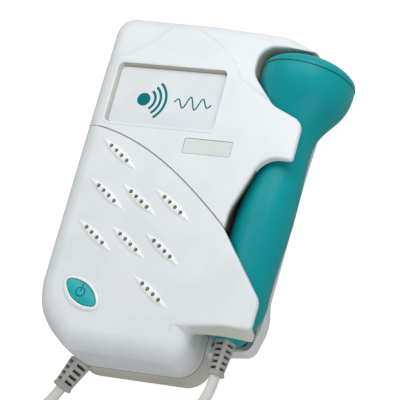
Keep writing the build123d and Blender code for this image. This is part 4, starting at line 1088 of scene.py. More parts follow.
@dataclass
class Housing:
    """Rear shell, the two covers, window, name plate, battery door and screws."""

    face_z: float = FACE_Z

    # The window's recess: its middle, its size and its corners, and how much taller it gets.
    window: tuple[float, float, float, float] = (-14.65, 35.6, 45.3, 25.3)
    window_round: float = 2.2
    window_grow: float = 2.0
    window_edge_x: Span = (-38.0, 8.4)
    window_edge_y: Span = (43.9, 46.7)
    window_edge_z: float = 30.2
    panel_middle_y: float = 35.0
    lip_width: float = 1.3
    lip_rise: float = 0.2
    lip_foot: float = 0.3

    # The cradle's tray: its outer wall moves in, more so towards the foot, and bulges before the corner.
    tray_rim_z: float = 9.5
    tray_across: Span = (24.0, 36.0)
    tray_head: Span = (46.0, 62.0)
    tray_draw: float = 1.2
    tray_taper: float = 0.0266
    tray_taper_y: float = 61.8
    tray_corner: float = 1.7
    tray_corner_rise: Span = (30.0, 39.0)
    tray_corner_fall: Span = (41.0, 52.0)
    tray_foot_move: float = 1.4
    tray_foot_y: Span = (43.5, 53.5)
    tray_foot_x: Span = (19.0, 23.5)
    tray_cuts: tuple[float, ...] = (20.0, 0.0, -20.0, -28.0, -31.0, -34.0, -37.0, -40.0, -43.0)

    # The saddle's outer wing, lowered by a distance.
    wing_z: float = 4.0
    wing_across: Span = (27.5, 34.0)
    wing_drop: float = 2.4

    # The shoulder beside the volume wheel, raised by a distance.
    shoulder_rise: float = 1.6
    shoulder_across: Span = (31.5, 44.5)
    shoulder_y: Span = (52.0, 68.0)

    # The flat from cheek to heel, rounded outwards to a depth.
    cheek: Flat = (-45.54, -48.7)
    heel: Flat = (-29.9, -67.4)
    cheek_bulge: float = 1.4
    cheek_rise: Span = (-0.1, 0.4)
    cheek_fall: Span = (0.5, 0.95)
    cheek_depth: Span = (3.0, 9.0)
    cheek_edges: int = 9

    # The lower finger's end wall, leaned back towards the face.
    finger_lean: float = 2.2
    finger_z: Span = (26.0, 34.4)
    finger_y: Span = (49.0, 53.5)
    finger_x: Span = (17.2, 22.0)

    # The filler of the joint between the covers, painted with the groove's shade.
    groove_near: float = 2.2
    groove_step: float = 0.6
    groove_width: float = 0.55
    groove_ink: float = 0.015

    screw_spots: tuple[Flat, ...] = (
        (-37.5, 61.5),
        (8.5, 61.0),
        (13.5, 27.0),
        (-39.4, 8.0),
        (-10.5, -61.5),
        (11.5, -60.5),
    )

    def shells(self, grille: Grille) -> None:
        """Make and dress the housing's skins.

        Args:
            grille: The ribs that the lower cover makes room for.
        """
        tray_planes = [(Vector((0.0, y, 0.0)), Vector((0.0, 1.0, 0.0))) for y in self.tray_cuts]
        for node, finish, form, cuts in (
            ("rear_shell", TRAY, self.tray_form, self.cheek_cuts() + tray_planes),
            ("front_cover_upper", COVER, self.upper_form, ()),
            ("front_cover_lower", COVER, self.lower_form, self.cheek_cuts()),
            ("battery_door", SHELL, None, ()),
            ("cradle_saddle", SADDLE_SHADE, self.saddle_form, ()),
            ("headphone_jack", HOLDER, None, ()),
            ("volume_wheel", WHEEL, None, ()),
            ("window_panel", WINDOW, self.panel_form, ()),
            ("name_plate", PLATE, None, ()),
        ):
            skin = skin_of(node, f"{node}_skin", form=form, cuts=cuts)
            if node == "front_cover_lower":
                grille.level(skin)
            dress(skin, finish, body_of(node))

    def cheek_cuts(self) -> list[Plane]:
        """Lay planes across the flat between cheek and heel, which add the edges that its bulge needs.

        Returns:
            The planes.
        """
        start, end = Vector((*self.cheek, 0.0)), Vector((*self.heel, 0.0))
        normal, parts = (end - start).normalized(), self.cheek_edges + 1
        return [(start.lerp(end, i / parts), normal) for i in range(1, parts)]

    def cheek_form(self, spot: Vector) -> Vector:
        """Round the flat between cheek and heel outwards.

        Args:
            spot: A place on a shell.

        Returns:
            Where it goes.
        """
        start, end = Vector((*self.cheek, 0.0)), Vector((*self.heel, 0.0))
        run = end - start
        normal = Vector((run.y, -run.x, 0.0)).normalized()
        offset = Vector((spot.x, spot.y, 0.0)) - start
        along, inside = offset.dot(run) / run.length_squared, -offset.dot(normal)
        if inside > self.cheek_depth[1]:
            return spot
        push = self.cheek_bulge * eased(along, *self.cheek_rise) * (1 - eased(along, *self.cheek_fall))
        return spot + normal * push * (1 - eased(inside, *self.cheek_depth))

    def lower_form(self, spot: Vector) -> Vector:
        """Round the lower cover's cheek, and lean its finger's end wall back.

        Args:
            spot: A place on the cover.

        Returns:
            Where it goes.
        """
        share = eased(spot.z, *self.finger_z) * eased(-spot.y, *self.finger_y) * eased(spot.x, *self.finger_x)
        return self.cheek_form(Vector((spot.x, spot.y + self.finger_lean * share, spot.z)))

    def tray_form(self, spot: Vector) -> Vector:
        """Draw the tray's outer and foot walls in under the probe.

        Args:
            spot: A place on the rear shell.

        Returns:
            Where it goes.
        """
        x, y, z = spot
        if z > self.tray_rim_z or y > self.tray_head[1]:
            return self.shoulder_form(spot)
        across = eased(x, *self.tray_across) * (1 - eased(y, *self.tray_head))
        corner = self.tray_corner * eased(-y, *self.tray_corner_rise) * (1 - eased(-y, *self.tray_corner_fall))
        inwards = (self.tray_draw + self.tray_taper * (self.tray_taper_y - y) - corner) * across
        footwards = self.tray_foot_move * eased(-y, *self.tray_foot_y) * eased(x, *self.tray_foot_x)
        return self.shoulder_form(Vector((x - inwards, y + footwards, z)))

    def saddle_form(self, spot: Vector) -> Vector:
        """Draw the saddle in with the tray, its outer wing low enough to pass below the probe.

        Args:
            spot: A place on the saddle.

        Returns:
            Where it goes.
        """
        drawn = self.tray_form(Vector((spot.x, spot.y, 0.0)))
        lower = self.wing_drop * eased(spot.x, *self.wing_across) if spot.z > self.wing_z else 0.0
        return Vector((drawn.x, drawn.y, spot.z - lower))

    def shoulder_form(self, spot: Vector) -> Vector:
        """Raise the shoulder beside the volume wheel, and round the cheek."""
        rise = self.shoulder_rise * eased(-spot.x, *self.shoulder_across) * eased(spot.y, *self.shoulder_y)
        return self.cheek_form(Vector((spot.x, spot.y + rise, spot.z)))

    def upper_form(self, spot: Vector) -> Vector:
        """Widen the window's recess towards the top, and raise the shoulder.

        Args:
            spot: A place on the upper cover.

        Returns:
            Where it goes.
        """
        x, y, z = self.shoulder_form(spot)
        (low_x, high_x), (low_y, high_y) = self.window_edge_x, self.window_edge_y
        if low_y < spot.y < high_y and low_x < spot.x < high_x and spot.z > self.window_edge_z:
            y += self.window_grow
        return Vector((x, y, z))

    def panel_form(self, spot: Vector) -> Vector:
        """Widen the panel with its recess."""
        return spot + Vector((0.0, self.window_grow if spot.y > self.panel_middle_y else 0.0, 0.0))

    def groove(self) -> None:
        """Fill the joint between the covers, level with the face, with a strip painted with the groove's shade."""
        near, level = self.groove_near * MM, (self.face_z - FACE_TOLERANCE) * MM
        upper, lower = (
            [v.co for v in frame["nodes"][node].data.vertices if v.co.z > level]
            for node in ("front_cover_upper", "front_cover_lower")
        )
        edge = sorted((spot.x, spot.y) for spot in upper if any((spot - other).length < near for other in lower))
        centre: list[Flat] = []
        for x, y in edge:
            if not centre or math.hypot(x / MM - centre[-1][0], y / MM - centre[-1][1]) > self.groove_step:
                centre.append((x / MM, y / MM))
        filler = ribbon(centre, self.groove_width, self.face_z, self.groove_ink)
        dress(filler.build("cover_groove"), GROOVE_SHADE, "unit")

    def window_lip(self) -> None:
        """Raise a soft lip round the window's recess."""
        x, y, width, height = self.window
        grow = self.lip_width / 2 - 0.1
        path = rounded_box(width / 2 + grow, height / 2 + grow, self.window_round + grow, 12)
        swings = [math.pi * k / 8 for k in range(9)]
        section = [(-math.cos(a) * self.lip_width / 2, math.sin(a) * self.lip_rise - 0.02) for a in swings]
        section += [(self.lip_width / 2, -self.lip_foot), (-self.lip_width / 2, -self.lip_foot)]
        rings = Rings()
        for px, py, angle in path:
            cx, cy = math.cos(angle), math.sin(angle)
            rings.add([mm(x + px + out * cx, y + py + out * cy, self.face_z + rise) for out, rise in section])
        rings.join()
        dress(soften(rings.build("window_lip"), 50.0), COVER, "unit")

    def screws(self, repeater: Repeater) -> None:
        """Make the cross-headed screws that hold the rear shell to the covers.

        Args:
            repeater: The tree that sets them at their spots.
        """
        head_z, head_r, head_height, shank_r, length = 3.0, 2.8, 2.0, 1.45, 17.0
        core_r, plain, threads, thread_height = shank_r * 0.8, 5.0, 12, 0.7
        profile = [(0.6 * head_r, head_z - head_height), (0.85 * head_r, head_z - 0.9 * head_height)]
        profile += [(head_r, head_z - 0.6 * head_height), (head_r, head_z)]
        profile += [(core_r, head_z), (core_r, head_z + plain)]
        for i in range(threads):
            z = head_z + plain + i * (length - plain - 1.0) / threads
            profile += [(core_r, z), (shank_r, z + thread_height / 2), (core_r, z + thread_height)]
        profile.append((0.3, head_z + length))
        rings = Rings()
        for radius, z in profile:
            rings.add(circle(radius, z, 24))
        rings.close()
        screw = cut(rings.build("screw"), self.driver_cross(head_z - head_height, head_r))
        spots = [mm(x, y, 0.0) for x, y in self.screw_spots]
        made = repeater.repeat("housing_screws_crossed", screw, spots, (0.0, 0.0, 0.6), ZINC)
        made = soften(made, 35.0)
        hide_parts("housing_screws")
        dress(made, ZINC, "unit")

    def driver_cross(self, foot_z: float, head_r: float) -> bpy.types.Object:
        """Make the tool that cuts the cross into a screw's head.

        Args:
            foot_z: The head's outer face.
            head_r: The head's radius.

        Returns:
            The tool, narrower at its inner end.
        """
        arm, half, depth = 0.62 * head_r, 0.42, 1.1
        outline = [(arm, -half), (arm, half), (half, half)]
        for _ in range(3):
            outline += [(-y, x) for x, y in outline[-3:]]
        rings = Rings()
        rings.add([mm(x, y, foot_z - 0.5) for x, y in outline])
        rings.add([mm(0.75 * x, 0.75 * y, foot_z + depth) for x, y in outline])
        rings.close()
        return rings.build("driver_cross")


@dataclass
class WindowPrint:
    """Teal print on the window panel: a dot, spreading arcs and a wave."""

    x: float = -24.0  # the dot's middle
    y: float = 34.2
    dot_r: float = 2.7
    arcs: tuple[float, ...] = (4.7, 6.9, 9.1)
    spread: float = 52.0  # degrees that an arc reaches to either side
    stroke: float = 1.05
    wave_span: Span = (12.6, 28.0)  # from the dot's middle
    waves: float = 3.0
    wave_swing: float = 2.6
    wave_stroke: float = 0.5775
    ink: float = 0.03

    def build(self) -> None:
        """Print on the panel."""
        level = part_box("window_panel")[1].z / MM
        dot = Rings()
        for z in (level - self.ink, level + self.ink):
            dot.add(circle(self.dot_r, z, 48, self.x, self.y))
        dot.close()
        parts = [dot]
        steps = [math.radians(-self.spread + 2 * self.spread * k / 40) for k in range(41)]
        for radius in self.arcs:
            line = [(self.x + radius * math.cos(a), self.y + radius * math.sin(a)) for a in steps]
            parts.append(ribbon(line, self.stroke, level, self.ink))
        parts.append(ribbon(self.wave(), self.wave_stroke, level, self.ink))
        dress(merged("window_print", parts), PRINT, "unit")

    def wave(self) -> list[Flat]:
        """Line of the wave, which swells and fades.

        Returns:
            Its points.
        """
        start, end = self.wave_span
        line = []
        for k in range(121):
            share = k / 120
            swing = self.wave_swing * math.sin(math.pi * share) ** 0.5
            rise = swing * math.sin(2 * math.pi * self.waves * share)
            line.append((self.x + start + (end - start) * share, self.y + rise))
        return line


@dataclass
class PowerButton:
    """Leaf-shaped button with a domed top and a raised on-off symbol."""

    x: float = -26.2
    y: float = -46.8
    turn: float = -32.8
    length: float = 17.3
    width: float = 7.2
    tip: float = 1.3  # radius of the leaf's ends

    # Heights of the body, its lip inside the cover, its rounded edge and its dome.
    foot_z: float = 29.5
    lip_low_z: float = 29.9
    lip_high_z: float = 31.2
    lip_grow: float = 2.0
    edge_z: float = 34.9
    edge_round: float = 0.5
    edge_drop: float = 0.2
    crown_z: float = 35.8

    # The rim that stands on the cover.
    rim_gap: float = 0.15
    rim_width: float = 1.5
    rim_foot_z: float = 33.6
    rim_skirt_z: float = 34.3
    rim_top_z: float = 35.35

    # The symbol: its ring, its tick from the middle outwards, and its line.
    ring_r: float = 1.75
    tick: Span = (0.2, 3.4)
    tick_lean: float = 8.0
    stroke: float = 0.42
    ink: float = 0.05

    def outline(self, grow: float) -> list[Flat]:
        """The leaf's outline, grown by a distance."""
        return leaf_outline(self.length + 2 * grow, self.width + 2 * grow, self.tip + grow, 32)

    def place(self, x: float, y: float, z: float) -> Vector:
        """Place a point of the button's own plan at a height.

        Args:
            x: Along the button.
            y: Across it.
            z: The height.

        Returns:
            The point, in metres.
        """
        turn = math.radians(self.turn)
        across, up = x * math.cos(turn) - y * math.sin(turn), x * math.sin(turn) + y * math.cos(turn)
        return mm(self.x + across, self.y + up, z)

    def top_z(self, share: float) -> float:
        """Height of the dome at a share of the way from the middle to the edge."""
        return self.crown_z - (self.crown_z - self.edge_z - 0.3) * share**2.2

    def build(self) -> None:
        """The button and its symbol."""
        rings = Rings()
        stack = [(0.0, self.foot_z), (0.0, self.lip_low_z), (self.lip_grow, self.lip_low_z)]
        wall_z = self.edge_z - self.edge_drop
        stack += [(self.lip_grow, self.lip_high_z), (0.0, self.lip_high_z), (0.0, wall_z)]
        for grow, z in stack:
            rings.add([self.place(x, y, z) for x, y in self.outline(grow)])
        plan = self.outline(0.0)
        for i in range(1, 7):
            swing = math.pi / 2 * i / 6
            inset = self.edge_round * (1 - math.cos(swing))
            z = wall_z + (self.top_z(1 - inset / self.width * 2) - wall_z) * math.sin(swing)
            scale_x, scale_y = 1 - inset / (self.length / 2), 1 - inset / (self.width / 2)
            rings.add([self.place(x * scale_x, y * scale_y, z) for x, y in plan])
        for i in range(1, 12):
            share = (1 - 2 * self.edge_round / self.width) * (1 - i / 12)
            rings.add([self.place(x * share, y * share, self.top_z(share)) for x, y in plan])
        rings.close()
        button = soften(rings.build("power_button_domed"), 40.0)
        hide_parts("power_button")
        dress(button, BUTTON, "button")
        self.rim()
        self.symbol()

    def rim(self) -> None:
        """Soft rim that the button moves in, its white painted lighter than the cover as a highlight."""
        rings = Rings()
        for share, z in (
            (0.0, self.rim_foot_z),
            (0.0, self.rim_top_z - 0.45),
            (0.1, self.rim_top_z - 0.12),
            (0.3, self.rim_top_z),
            (0.55, self.rim_top_z - 0.08),
            (0.8, self.rim_top_z - 0.4),
            (1.0, self.rim_skirt_z + 0.15),
            (1.0, self.rim_skirt_z),
            (0.75, self.rim_foot_z),
        ):
            rings.add([self.place(x, y, z) for x, y in self.outline(self.rim_gap + share * self.rim_width)])
        rings.join()
        dress(soften(rings.build("button_rim"), 45.0), RIB_HIGHLIGHT, "unit")

    def symbol(self) -> None:
        """Print the on-off symbol: a ring and a tick."""
        half = self.stroke / 2
        section = ((-half, -self.ink), (-half, self.ink), (half, self.ink), (half, -self.ink))
        ring = Rings()
        for k in range(48):
            angle = 2 * math.pi * k / 48
            reach = [(self.ring_r + out, rise) for out, rise in section]
            ring.add([self.on_crown(r * math.cos(angle), r * math.sin(angle), rise) for r, rise in reach])
        ring.join()
        tick = Rings()
        low, high = self.tick
        for k in range(7):
            tick.add([self.tilted(x, low + (high - low) * k / 6, rise) for x, rise in section])
        tick.close()
        dress(merged("power_symbol", [ring, tick]), SYMBOL, "button")

    def tilted(self, x: float, y: float, rise: float) -> Vector:
        """Point of the tick, which leans with the unit's long side.

        Args:
            x: Across the tick.
            y: Along it.
            rise: Height over the dome.

        Returns:
            The point, in metres.
        """
        turn = math.radians(-self.turn - self.tick_lean)
        return self.on_crown(x * math.cos(turn) - y * math.sin(turn), x * math.sin(turn) + y * math.cos(turn), rise)

    def on_crown(self, x: float, y: float, rise: float) -> Vector:
        """Point of the button's own plan at a height over the dome, in metres."""
        return self.place(x, y, self.crown_at(x, y) + rise)

    def crown_at(self, x: float, y: float) -> float:
        """Height of the dome's top at a point of the button's plan."""
        share = max(abs(y) / (self.width / 2), math.hypot(2 * x / self.length, 2 * y / self.width))
        return self.top_z(min(share, 1.0))


# ---- cord ----
@dataclass
class CableBoot:
    """Squared strain relief with windows in its four flanks and a collar at its end."""

    node: str
    foot: Point  # where it leaves the housing
    axis: Point
    length: float
    root: float  # side of its section at the foot
    tip: float  # side at the collar
    slots: int
    neck_r: float
    neck_back: float  # length of the neck inside the housing
    flange_r: float
    flange_thick: float = 1.5
    collar: float = 1.5
    collar_grow: float = 0.3
    slot: float = 1.05  # a window's width along the boot
    edge: float = 0.07  # of its walls
    window_share: float = 0.58  # of half the section's side
    depth_share: float = 0.42
    core_gap: float = 0.12  # from a window's floor to the core, which is painted with the windows' shade
    rounding: float = 0.2  # a corner's radius as a share of the side
    roll: float = 0.0  # degrees about the axis

    def frame_of(self) -> tuple[Vector, Vector, Vector]:
        """Turn the boot's axis and roll into directions: the axis, and the two that its flanks face.

        Returns:
            The three directions.
        """
        axis = Vector(self.axis).normalized()
        up = Vector((0.0, 0.0, 1.0))
        side = axis.cross(up)
        turn = math.radians(self.roll)
        return axis, up * math.cos(turn) + side * math.sin(turn), side * math.cos(turn) - up * math.sin(turn)

    def half_side(self, along: float) -> float:
        """Half of the section's side at a distance from the foot."""
        share = min(max(along / (self.length - self.collar), 0.0), 1.0)
        return (self.root + (self.tip - self.root) * share) / 2

    def depth_at(self, along: float) -> float:
        """Depth of a window at a distance from the foot."""
        return self.depth_share * self.half_side(along)

    def ring(self, along: float, grow: float, sunk: float) -> list[Vector]:
        """Section at a distance from the foot.

        Args:
            along: Distance from the foot.
            grow: How much wider than the taper it is on each side.
            sunk: Depth of the windows here, 0 between them.

        Returns:
            The section's points.
        """
        half = self.half_side(along) + grow
        corner = 2 * half * self.rounding
        flat = half - corner
        window = self.window_share * half
        axis, up, side = self.frame_of()
        start = Vector(self.foot) + axis * along
        points = []
        for quarter in range(4):
            turn = quarter * math.pi / 2
            out = up * math.cos(turn) + side * math.sin(turn)
            along_flank = side * math.cos(turn) - up * math.sin(turn)
            stops = [-flat, -window - self.edge, -window, 0.0, window, window + self.edge, flat]
            if window + self.edge > flat:
                stops = [-flat, -flat + 0.1, -flat + 0.1 + self.edge, 0.0, flat - 0.1 - self.edge, flat - 0.1, flat]
            for k, stop in enumerate(stops):
                inward = sunk if 2 <= k <= 4 else 0.0
                points.append((start + out * (half - inward) + along_flank * stop) * MM)
            for k in range(1, 6):
                swing = math.pi / 2 * k / 6
                spot = out * (flat + corner * math.cos(swing)) + along_flank * (flat + corner * math.sin(swing))
                points.append((start + spot) * MM)
        return points

    def round_ring(self, along: float, radius: float) -> list[Vector]:
        """Round section with as many points as the squared ones.

        Args:
            along: Distance from the foot.
            radius: The section's radius.

        Returns:
            The section's points.
        """
        axis, up, side = self.frame_of()
        start = Vector(self.foot) + axis * along
        count = len(self.ring(0.0, 0.0, 0.0))
        points = []
        for k in range(count):
            turn = 2 * math.pi * (k - 3) / count
            points.append((start + (up * math.cos(turn) + side * math.sin(turn)) * radius) * MM)
        return points

    def build(self) -> None:
        """The boot, with its neck and flange inside the housing."""
        rings = Rings()
        back = -self.neck_back
        for along, radius in (
            (back - self.flange_thick, self.flange_r),
            (back, self.flange_r),
            (back, self.neck_r),
            (0.0, self.neck_r),
        ):
            rings.add(self.round_ring(along, radius))
        rings.add(self.ring(0.0, -0.15, 0.0))
        rings.add(self.ring(0.15, 0.0, 0.0))
        pitch = (self.length - self.collar) / (self.slots + 0.35)
        for i in range(self.slots):
            start = pitch * (i + 0.55)
            rings.add(self.ring(start - self.edge, 0.0, 0.0))
            rings.add(self.ring(start, 0.0, self.depth_at(start)))
            rings.add(self.ring(start + self.slot, 0.0, self.depth_at(start)))
            rings.add(self.ring(start + self.slot + self.edge, 0.0, 0.0))
        shoulder = self.length - self.collar
        for along, grow in (
            (shoulder, 0.0),
            (shoulder + 0.1, self.collar_grow - 0.08),
            (shoulder + 0.3, self.collar_grow),
            (self.length - 0.6, self.collar_grow),
            (self.length - 0.35, self.collar_grow - 0.1),
            (self.length - 0.12, 0.0),
            (self.length, -0.4),
        ):
            rings.add(self.ring(along, grow, 0.0))
        rings.close()
        boot = soften(rings.build(f"{self.node}_ribbed"), 32.0)
        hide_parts(self.node)
        dress(boot, BOOT, body_of(self.node))
        # a core under the windows, painted with the shade inside them
        core = Rings()
        for along in (0.5, shoulder - 0.3):
            core.add(self.ring(along, self.core_gap - self.depth_at(along), 0.0))
        core.close()
        dress(core.build(f"{self.node}_core"), SLOT_SHADE, body_of(self.node))


@dataclass
class LooseCord:
    """The cord from the unit's boot to the probe's: two runs and a coil that is put away on the table."""

    diameter: float = 4.0
    rest_z: float = 2.05
    coil_x: float = -38.0
    coil_y: float = -128.0
    coil_r: float = 32.0
    pitch: float = 4.1  # between turns, and between the two layers
    layer_turns: int = 4
    unit_run: tuple[Point, ...] = (
        (-34.66, -77.62, 12.5),
        (-38.46, -85.77, 12.5),
        (-52.0, -93.0, 7.5),
        (-66.0, -100.5, 3.0),
        (-72.6, -113.5, 2.05),
    )
    probe_run: tuple[Point, ...] = (
        (1.2, -116.5, 2.4),
        (7.6, -105.5, 4.8),
        (14.2, -94.5, 9.8),
        (19.6, -85.5, 15.2),
        (24.4, -78.6, 18.8),
        (27.4, -72.56, 20.3),
        (27.73, -67.07, 20.3),
    )
    per_turn: int = 16  # route points
    play: float = 0.3  # of the outer turn
    climb: Span = (0.25, 0.05)  # turns before and after the inmost point, over which it climbs to the upper layer
    drop_start: float = 0.45  # share of the last half turn after which it sinks to the table
    drop_out: float = 4.2  # how far that half turn lies outside the coil
    sides: int = 14
    step: float = 1.2  # between the tube's rings
    strap_width: float = 7.0
    strap_thick: float = 0.45
    strap_corner: float = 1.8

    def coil(self) -> list[Point]:
        """Control points of the coil: inwards on the table, then outwards on top, then down beside it.

        Returns:
            The points.
        """
        bulge = 2 / (1 + math.cos(math.pi / self.per_turn))
        outer, top_z = self.coil_r + self.play, self.rest_z + self.pitch
        turns = 2 * self.layer_turns
        climb_from, climb_past = self.climb
        points: list[Point] = []
        for i in range(turns * self.per_turn + self.per_turn // 2 + 1):
            done = i / self.per_turn
            on_top = done - self.layer_turns
            if on_top <= 0:
                radius, z = outer - self.pitch * done, self.rest_z
            else:
                radius, z = outer - self.pitch * (turns - done), top_z
            if 0 < on_top < 0.25:
                radius = outer - self.pitch * (self.layer_turns - on_top * 0.2)
            if -climb_from < on_top <= climb_past:
                z = self.rest_z + self.pitch * (on_top + climb_from) / (climb_from + climb_past)
            if done > turns:
                share = (done - turns) / 0.5
                fallen = min(max((share - self.drop_start) / (1 - self.drop_start), 0.0), 1.0)
                radius = outer + self.drop_out * min(share * 1.4, 1.0)
                z = self.rest_z + self.pitch * (1 - fallen)
            angle = math.pi + 2 * math.pi * done
            x, y = radius * bulge * math.cos(angle), radius * bulge * math.sin(angle)
            points.append((self.coil_x + x, self.coil_y + y, z))
        return points

    def route(self) -> list[Point]:
        """All control points, from the unit to the probe."""
        return [*self.unit_run, *self.coil(), *self.probe_run]

    def line(self) -> list[Vector]:
        """The cord's own line, evenly stepped, in metres.

        Returns:
            Its points.
        """
        curve = bpy.data.curves.new("cord_line", "CURVE")
        curve.dimensions = "3D"
        curve.resolution_u = 12
        spline = curve.splines.new("NURBS")
        route = self.route()
        spline.points.add(len(route) - 1)
        for point, (x, y, z) in zip(spline.points, route):
            point.co = (*mm(x, y, z), 1.0)
        spline.order_u = 3
        spline.use_endpoint_u = True
        holder = bpy.data.objects.new("cord_line", curve)
        mesh = bpy.data.meshes.new_from_object(holder)
        fine = [v.co.copy() for v in mesh.vertices]
        bpy.data.objects.remove(holder)
        bpy.data.meshes.remove(mesh)
        return self.stepped(fine)

    def stepped(self, fine: Sequence[Vector]) -> list[Vector]:
        """Points at even steps along a line.

        Args:
            fine: The line's points, closer together than a step.

        Returns:
            The points, with the line's own ends.
        """
        run, kept = 0.0, [fine[0]]
        goal = self.step * MM
        for before, after in zip(fine, fine[1:]):
            length = (after - before).length
            while length and run + length >= goal:
                share = (goal - run) / length
                before = before.lerp(after, share)
                kept.append(before.copy())
                length = (after - before).length
                run = 0.0
            run += length
        if (kept[-1] - fine[-1]).length > 0.2 * goal:
            kept.append(fine[-1])
        else:
            kept[-1] = fine[-1]
        return kept

    def build(self) -> None:
        """The cord as a round tube, with straps on its coil."""
        line = self.line()
        rings = Rings()
        side = Vector((0.0, 0.0, 1.0))
        radius = self.diameter / 2 * MM
        angles = [2 * math.pi * k / self.sides for k in range(self.sides)]
        for i, centre in enumerate(line):
            ahead = (line[min(i + 1, len(line) - 1)] - line[max(i - 1, 0)]).normalized()
            side = (side - ahead * side.dot(ahead)).normalized()
            across = ahead.cross(side)
            rings.add([centre + (side * math.cos(a) + across * math.sin(a)) * radius for a in angles])
        rings.close()
        tube = soften(rings.build("probe_cord"), 60.0)
        tube.data.materials.append(CORD.material())
        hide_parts("cord_unit_run", "cord_coil", "cord_probe_run")
        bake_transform(tube)
        length = sum((b - a).length for a, b in zip(line, line[1:]))
        LOG.info("probe_cord: %.3f m long", length)
        straps = [self.strap(angle) for angle in (70.0, 250.0)]

    def strap(self, angle: float) -> bpy.types.Object:
        """Make a hook-and-loop strap round the coil's turns.

        Args:
            angle: Where on the coil, in degrees.

        Returns:
            The strap, dressed.
        """
        turn = math.radians(angle)
        out = Vector((math.cos(turn), math.sin(turn), 0.0))
        along = Vector((-math.sin(turn), math.cos(turn), 0.0))
        mean = self.coil_r - self.pitch * (self.layer_turns - 0.35) / 2
        half_w = self.pitch * self.layer_turns / 2 + self.diameter / 2 + 0.6
        half_h = (self.rest_z + self.pitch + self.diameter / 2 + 0.5) / 2
        centre = Vector((self.coil_x, self.coil_y, 0.0)) + out * mean
        shape = [(w, half_h + h) for w, h, _ in rounded_box(half_w, half_h, self.strap_corner, 8)]
        half, thick = self.strap_width / 2, self.strap_thick
        rings = Rings()
        for wide, grow in ((-half, 0.0), (-half, thick), (half, thick), (half, 0.0)):
            ring = []
            for w, z in shape:
                spot = centre + out * w * (half_w + grow) / half_w + along * wide
                ring.append((spot + Vector((0.0, 0.0, max(z, 0.02) + (grow if z > half_h else 0.0)))) * MM)
            rings.add(ring)
        rings.join()
        strap = soften(rings.build(f"coil_strap_{int(angle)}"), 40.0)
        return dress(strap, STRAP, "unit")


# ---- probe ----
@dataclass
class Probe:
    """The hand probe: body, face cap and the seal between them."""

    def build(self) -> None:
        """Skins of the probe's outer pieces."""
        for node, finish in (("probe_body", TEAL), ("probe_face_cap", TEAL), ("probe_seal", SEAL)):
            dress(skin_of(node, f"{node}_skin", 25.0), finish, body_of(node))


# ---- studio ----
class Softbox(Enum):
    """Studio lights: where each stands, what it points at and its side in metres, its power in watts and its tint."""

    KEY = ((-0.45, 0.75, 1.25), (0.0, 0.0, 0.02), 0.9, 5.2, (1.0, 0.998, 0.994))
    FILL = ((0.75, -1.0, 0.55), (0.0, 0.0, 0.02), 0.9, 4.2, (1.0, 0.995, 0.98))
    HOOD = ((0.11, 0.17, 0.23), (0.035, 0.06, 0.03), 0.16, 0.3, (0.985, 0.995, 1.0))


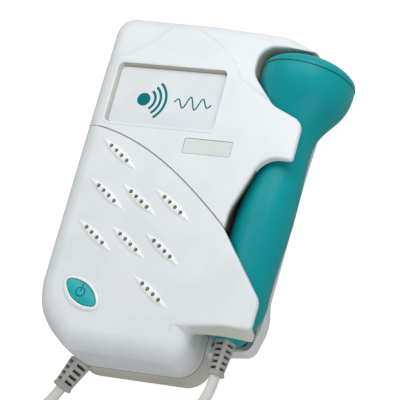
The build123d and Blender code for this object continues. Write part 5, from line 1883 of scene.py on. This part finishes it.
@dataclass
class Studio:
    """Floor, lights and camera.

    The camera looks at a target from an azimuth and an elevation, turned about its own axis by a roll. The floor is
    measured in metres, and lies just below the unit.
    """

    azimuth: float = 48.74
    elevation: float = 59.1
    roll: float = -38.1
    target: Point = (10.4, -5.1, 34.5)
    distance: float = 850.0
    focal: float = 207.62
    sensor: float = 36.0
    room_glow: float = 0.5
    floor_half: float = 3.0
    floor_z: float = -0.0002
    floor_glow: float = 0.9

    def camera(self) -> None:
        """Make the camera."""
        azimuth, elevation, roll = (math.radians(a) for a in (self.azimuth, self.elevation, self.roll))
        ahead = Vector((math.sin(azimuth), -math.cos(azimuth), 0.0))
        back = ahead * math.cos(elevation) + Vector((0.0, 0.0, math.sin(elevation)))
        level = Vector((math.cos(azimuth), math.sin(azimuth), 0.0))
        rise = back.cross(level)
        right = level * math.cos(roll) + rise * math.sin(roll)
        up = rise * math.cos(roll) - level * math.sin(roll)
        data = bpy.data.cameras.new("camera")
        data.lens = self.focal
        data.sensor_width = self.sensor
        data.clip_start, data.clip_end = 0.05, 20.0
        camera = bpy.data.objects.new("camera", data)
        bpy.context.scene.collection.objects.link(camera)
        place = mm(*self.target) + back * self.distance * MM
        turned = Matrix((right, up, back)).transposed().to_4x4()
        camera.matrix_world = Matrix.Translation(place) @ turned
        bpy.context.scene.camera = camera

    def lights(self) -> None:
        """Make the softboxes and the even light of the room."""
        for box in Softbox:
            place, aim, side, power, tint = box.value
            data = bpy.data.lights.new(f"softbox_{box.name.lower()}", "AREA")
            data.shape = "SQUARE"
            data.size = side
            data.energy = power
            data.color = tint
            light = bpy.data.objects.new(data.name, data)
            light.location = place
            light.rotation_euler = (Vector(aim) - Vector(place)).to_track_quat("-Z", "Y").to_euler()
            bpy.context.scene.collection.objects.link(light)
        world = bpy.data.worlds.new("studio")
        bpy.context.scene.world = world
        world.use_nodes = True
        sheet = NodeSheet(world.node_tree)
        glow = sheet.node("ShaderNodeBackground", None, {"Color": (1.0, 1.0, 1.0, 1.0), "Strength": self.room_glow})
        sheet.node("ShaderNodeOutputWorld", None, {"Surface": glow})
        bpy.context.scene.view_settings.view_transform = "Standard"

    def floor(self) -> None:
        """A wide white floor that glows a little, as a lit studio sweep does."""
        half, level = self.floor_half, self.floor_z
        corners = [(-half, -half, level), (half, -half, level), (half, half, level), (-half, half, level)]
        mesh = bpy.data.meshes.new("floor")
        mesh.from_pydata(corners, [], [(0, 1, 2, 3)])
        floor = fresh_object("floor", mesh)
        made = bpy.data.materials.new("floor_white")
        made.use_nodes = True
        sheet = NodeSheet(made.node_tree)
        seen = sheet.node(
            "ShaderNodeBsdfPrincipled",
            None,
            {
                "Base Color": (0.25, 0.25, 0.25, 1.0),
                "Roughness": 0.9,
                "Emission Color": (1.0, 1.0, 1.0, 1.0),
                "Emission Strength": self.floor_glow,
            },
        )
        lit = sheet.node("ShaderNodeBsdfDiffuse", None, {"Color": (0.52, 0.51, 0.48, 1.0)})
        looked_at = sheet.node("ShaderNodeLightPath", output="Is Camera Ray")
        shader = sheet.node("ShaderNodeMixShader", None, {0: looked_at, 1: lit, 2: seen})
        sheet.node("ShaderNodeOutputMaterial", None, {"Surface": shader})
        floor.data.materials.append(made)

    def build(self) -> None:
        """Make the studio."""
        self.camera()
        self.lights()
        self.floor()


@dataclass
class Monitor:
    """The whole object."""

    grille: Grille = field(default_factory=Grille)
    housing: Housing = field(default_factory=Housing)
    window_print: WindowPrint = field(default_factory=WindowPrint)
    button: PowerButton = field(default_factory=PowerButton)
    cord: LooseCord = field(default_factory=LooseCord)
    probe: Probe = field(default_factory=Probe)
    unit_boot: CableBoot = field(
        default_factory=lambda: CableBoot(
            "unit_cable_boot",
            foot=(-29.507, -66.558, 12.5),
            axis=(-0.42251, -0.90636, 0.0),
            length=12.2,
            root=7.3,
            tip=5.8,
            slots=4,
            neck_r=3.5,
            neck_back=3.9,
            flange_r=4.6,
            roll=38.0,
        )
    )
    probe_boot: CableBoot = field(
        default_factory=lambda: CableBoot(
            "probe_cable_boot",
            foot=(28.568, -53.4, 20.3),
            axis=(-0.061049, -0.998135, 0.0),
            length=13.7,
            root=6.3,
            tip=4.7,
            slots=5,
            neck_r=2.9,
            neck_back=3.0,
            flange_r=3.8,
            roll=20.0,
        )
    )

    def build(self) -> None:
        """Build and dress every piece."""
        repeater = Repeater("set_at_spots")
        self.cord.build()
        self.unit_boot.build()
        self.probe_boot.build()
        self.housing.shells(self.grille)
        self.housing.window_lip()
        self.housing.groove()
        self.housing.screws(repeater)
        self.grille.build(repeater)
        self.window_print.build()
        self.button.build()
        self.probe.build()
        for node, finish in INNER_FINISHES.items():
            solid = frame["nodes"][node]
            solid.data.materials.clear()
            solid.data.materials.append(finish.material())


def main() -> None:
    """Build the studio and the monitor."""
    logging.basicConfig(level=logging.INFO, format="%(name)s %(message)s")
    Studio().build()
    Monitor().build()


if __name__ == "__main__":
    main()
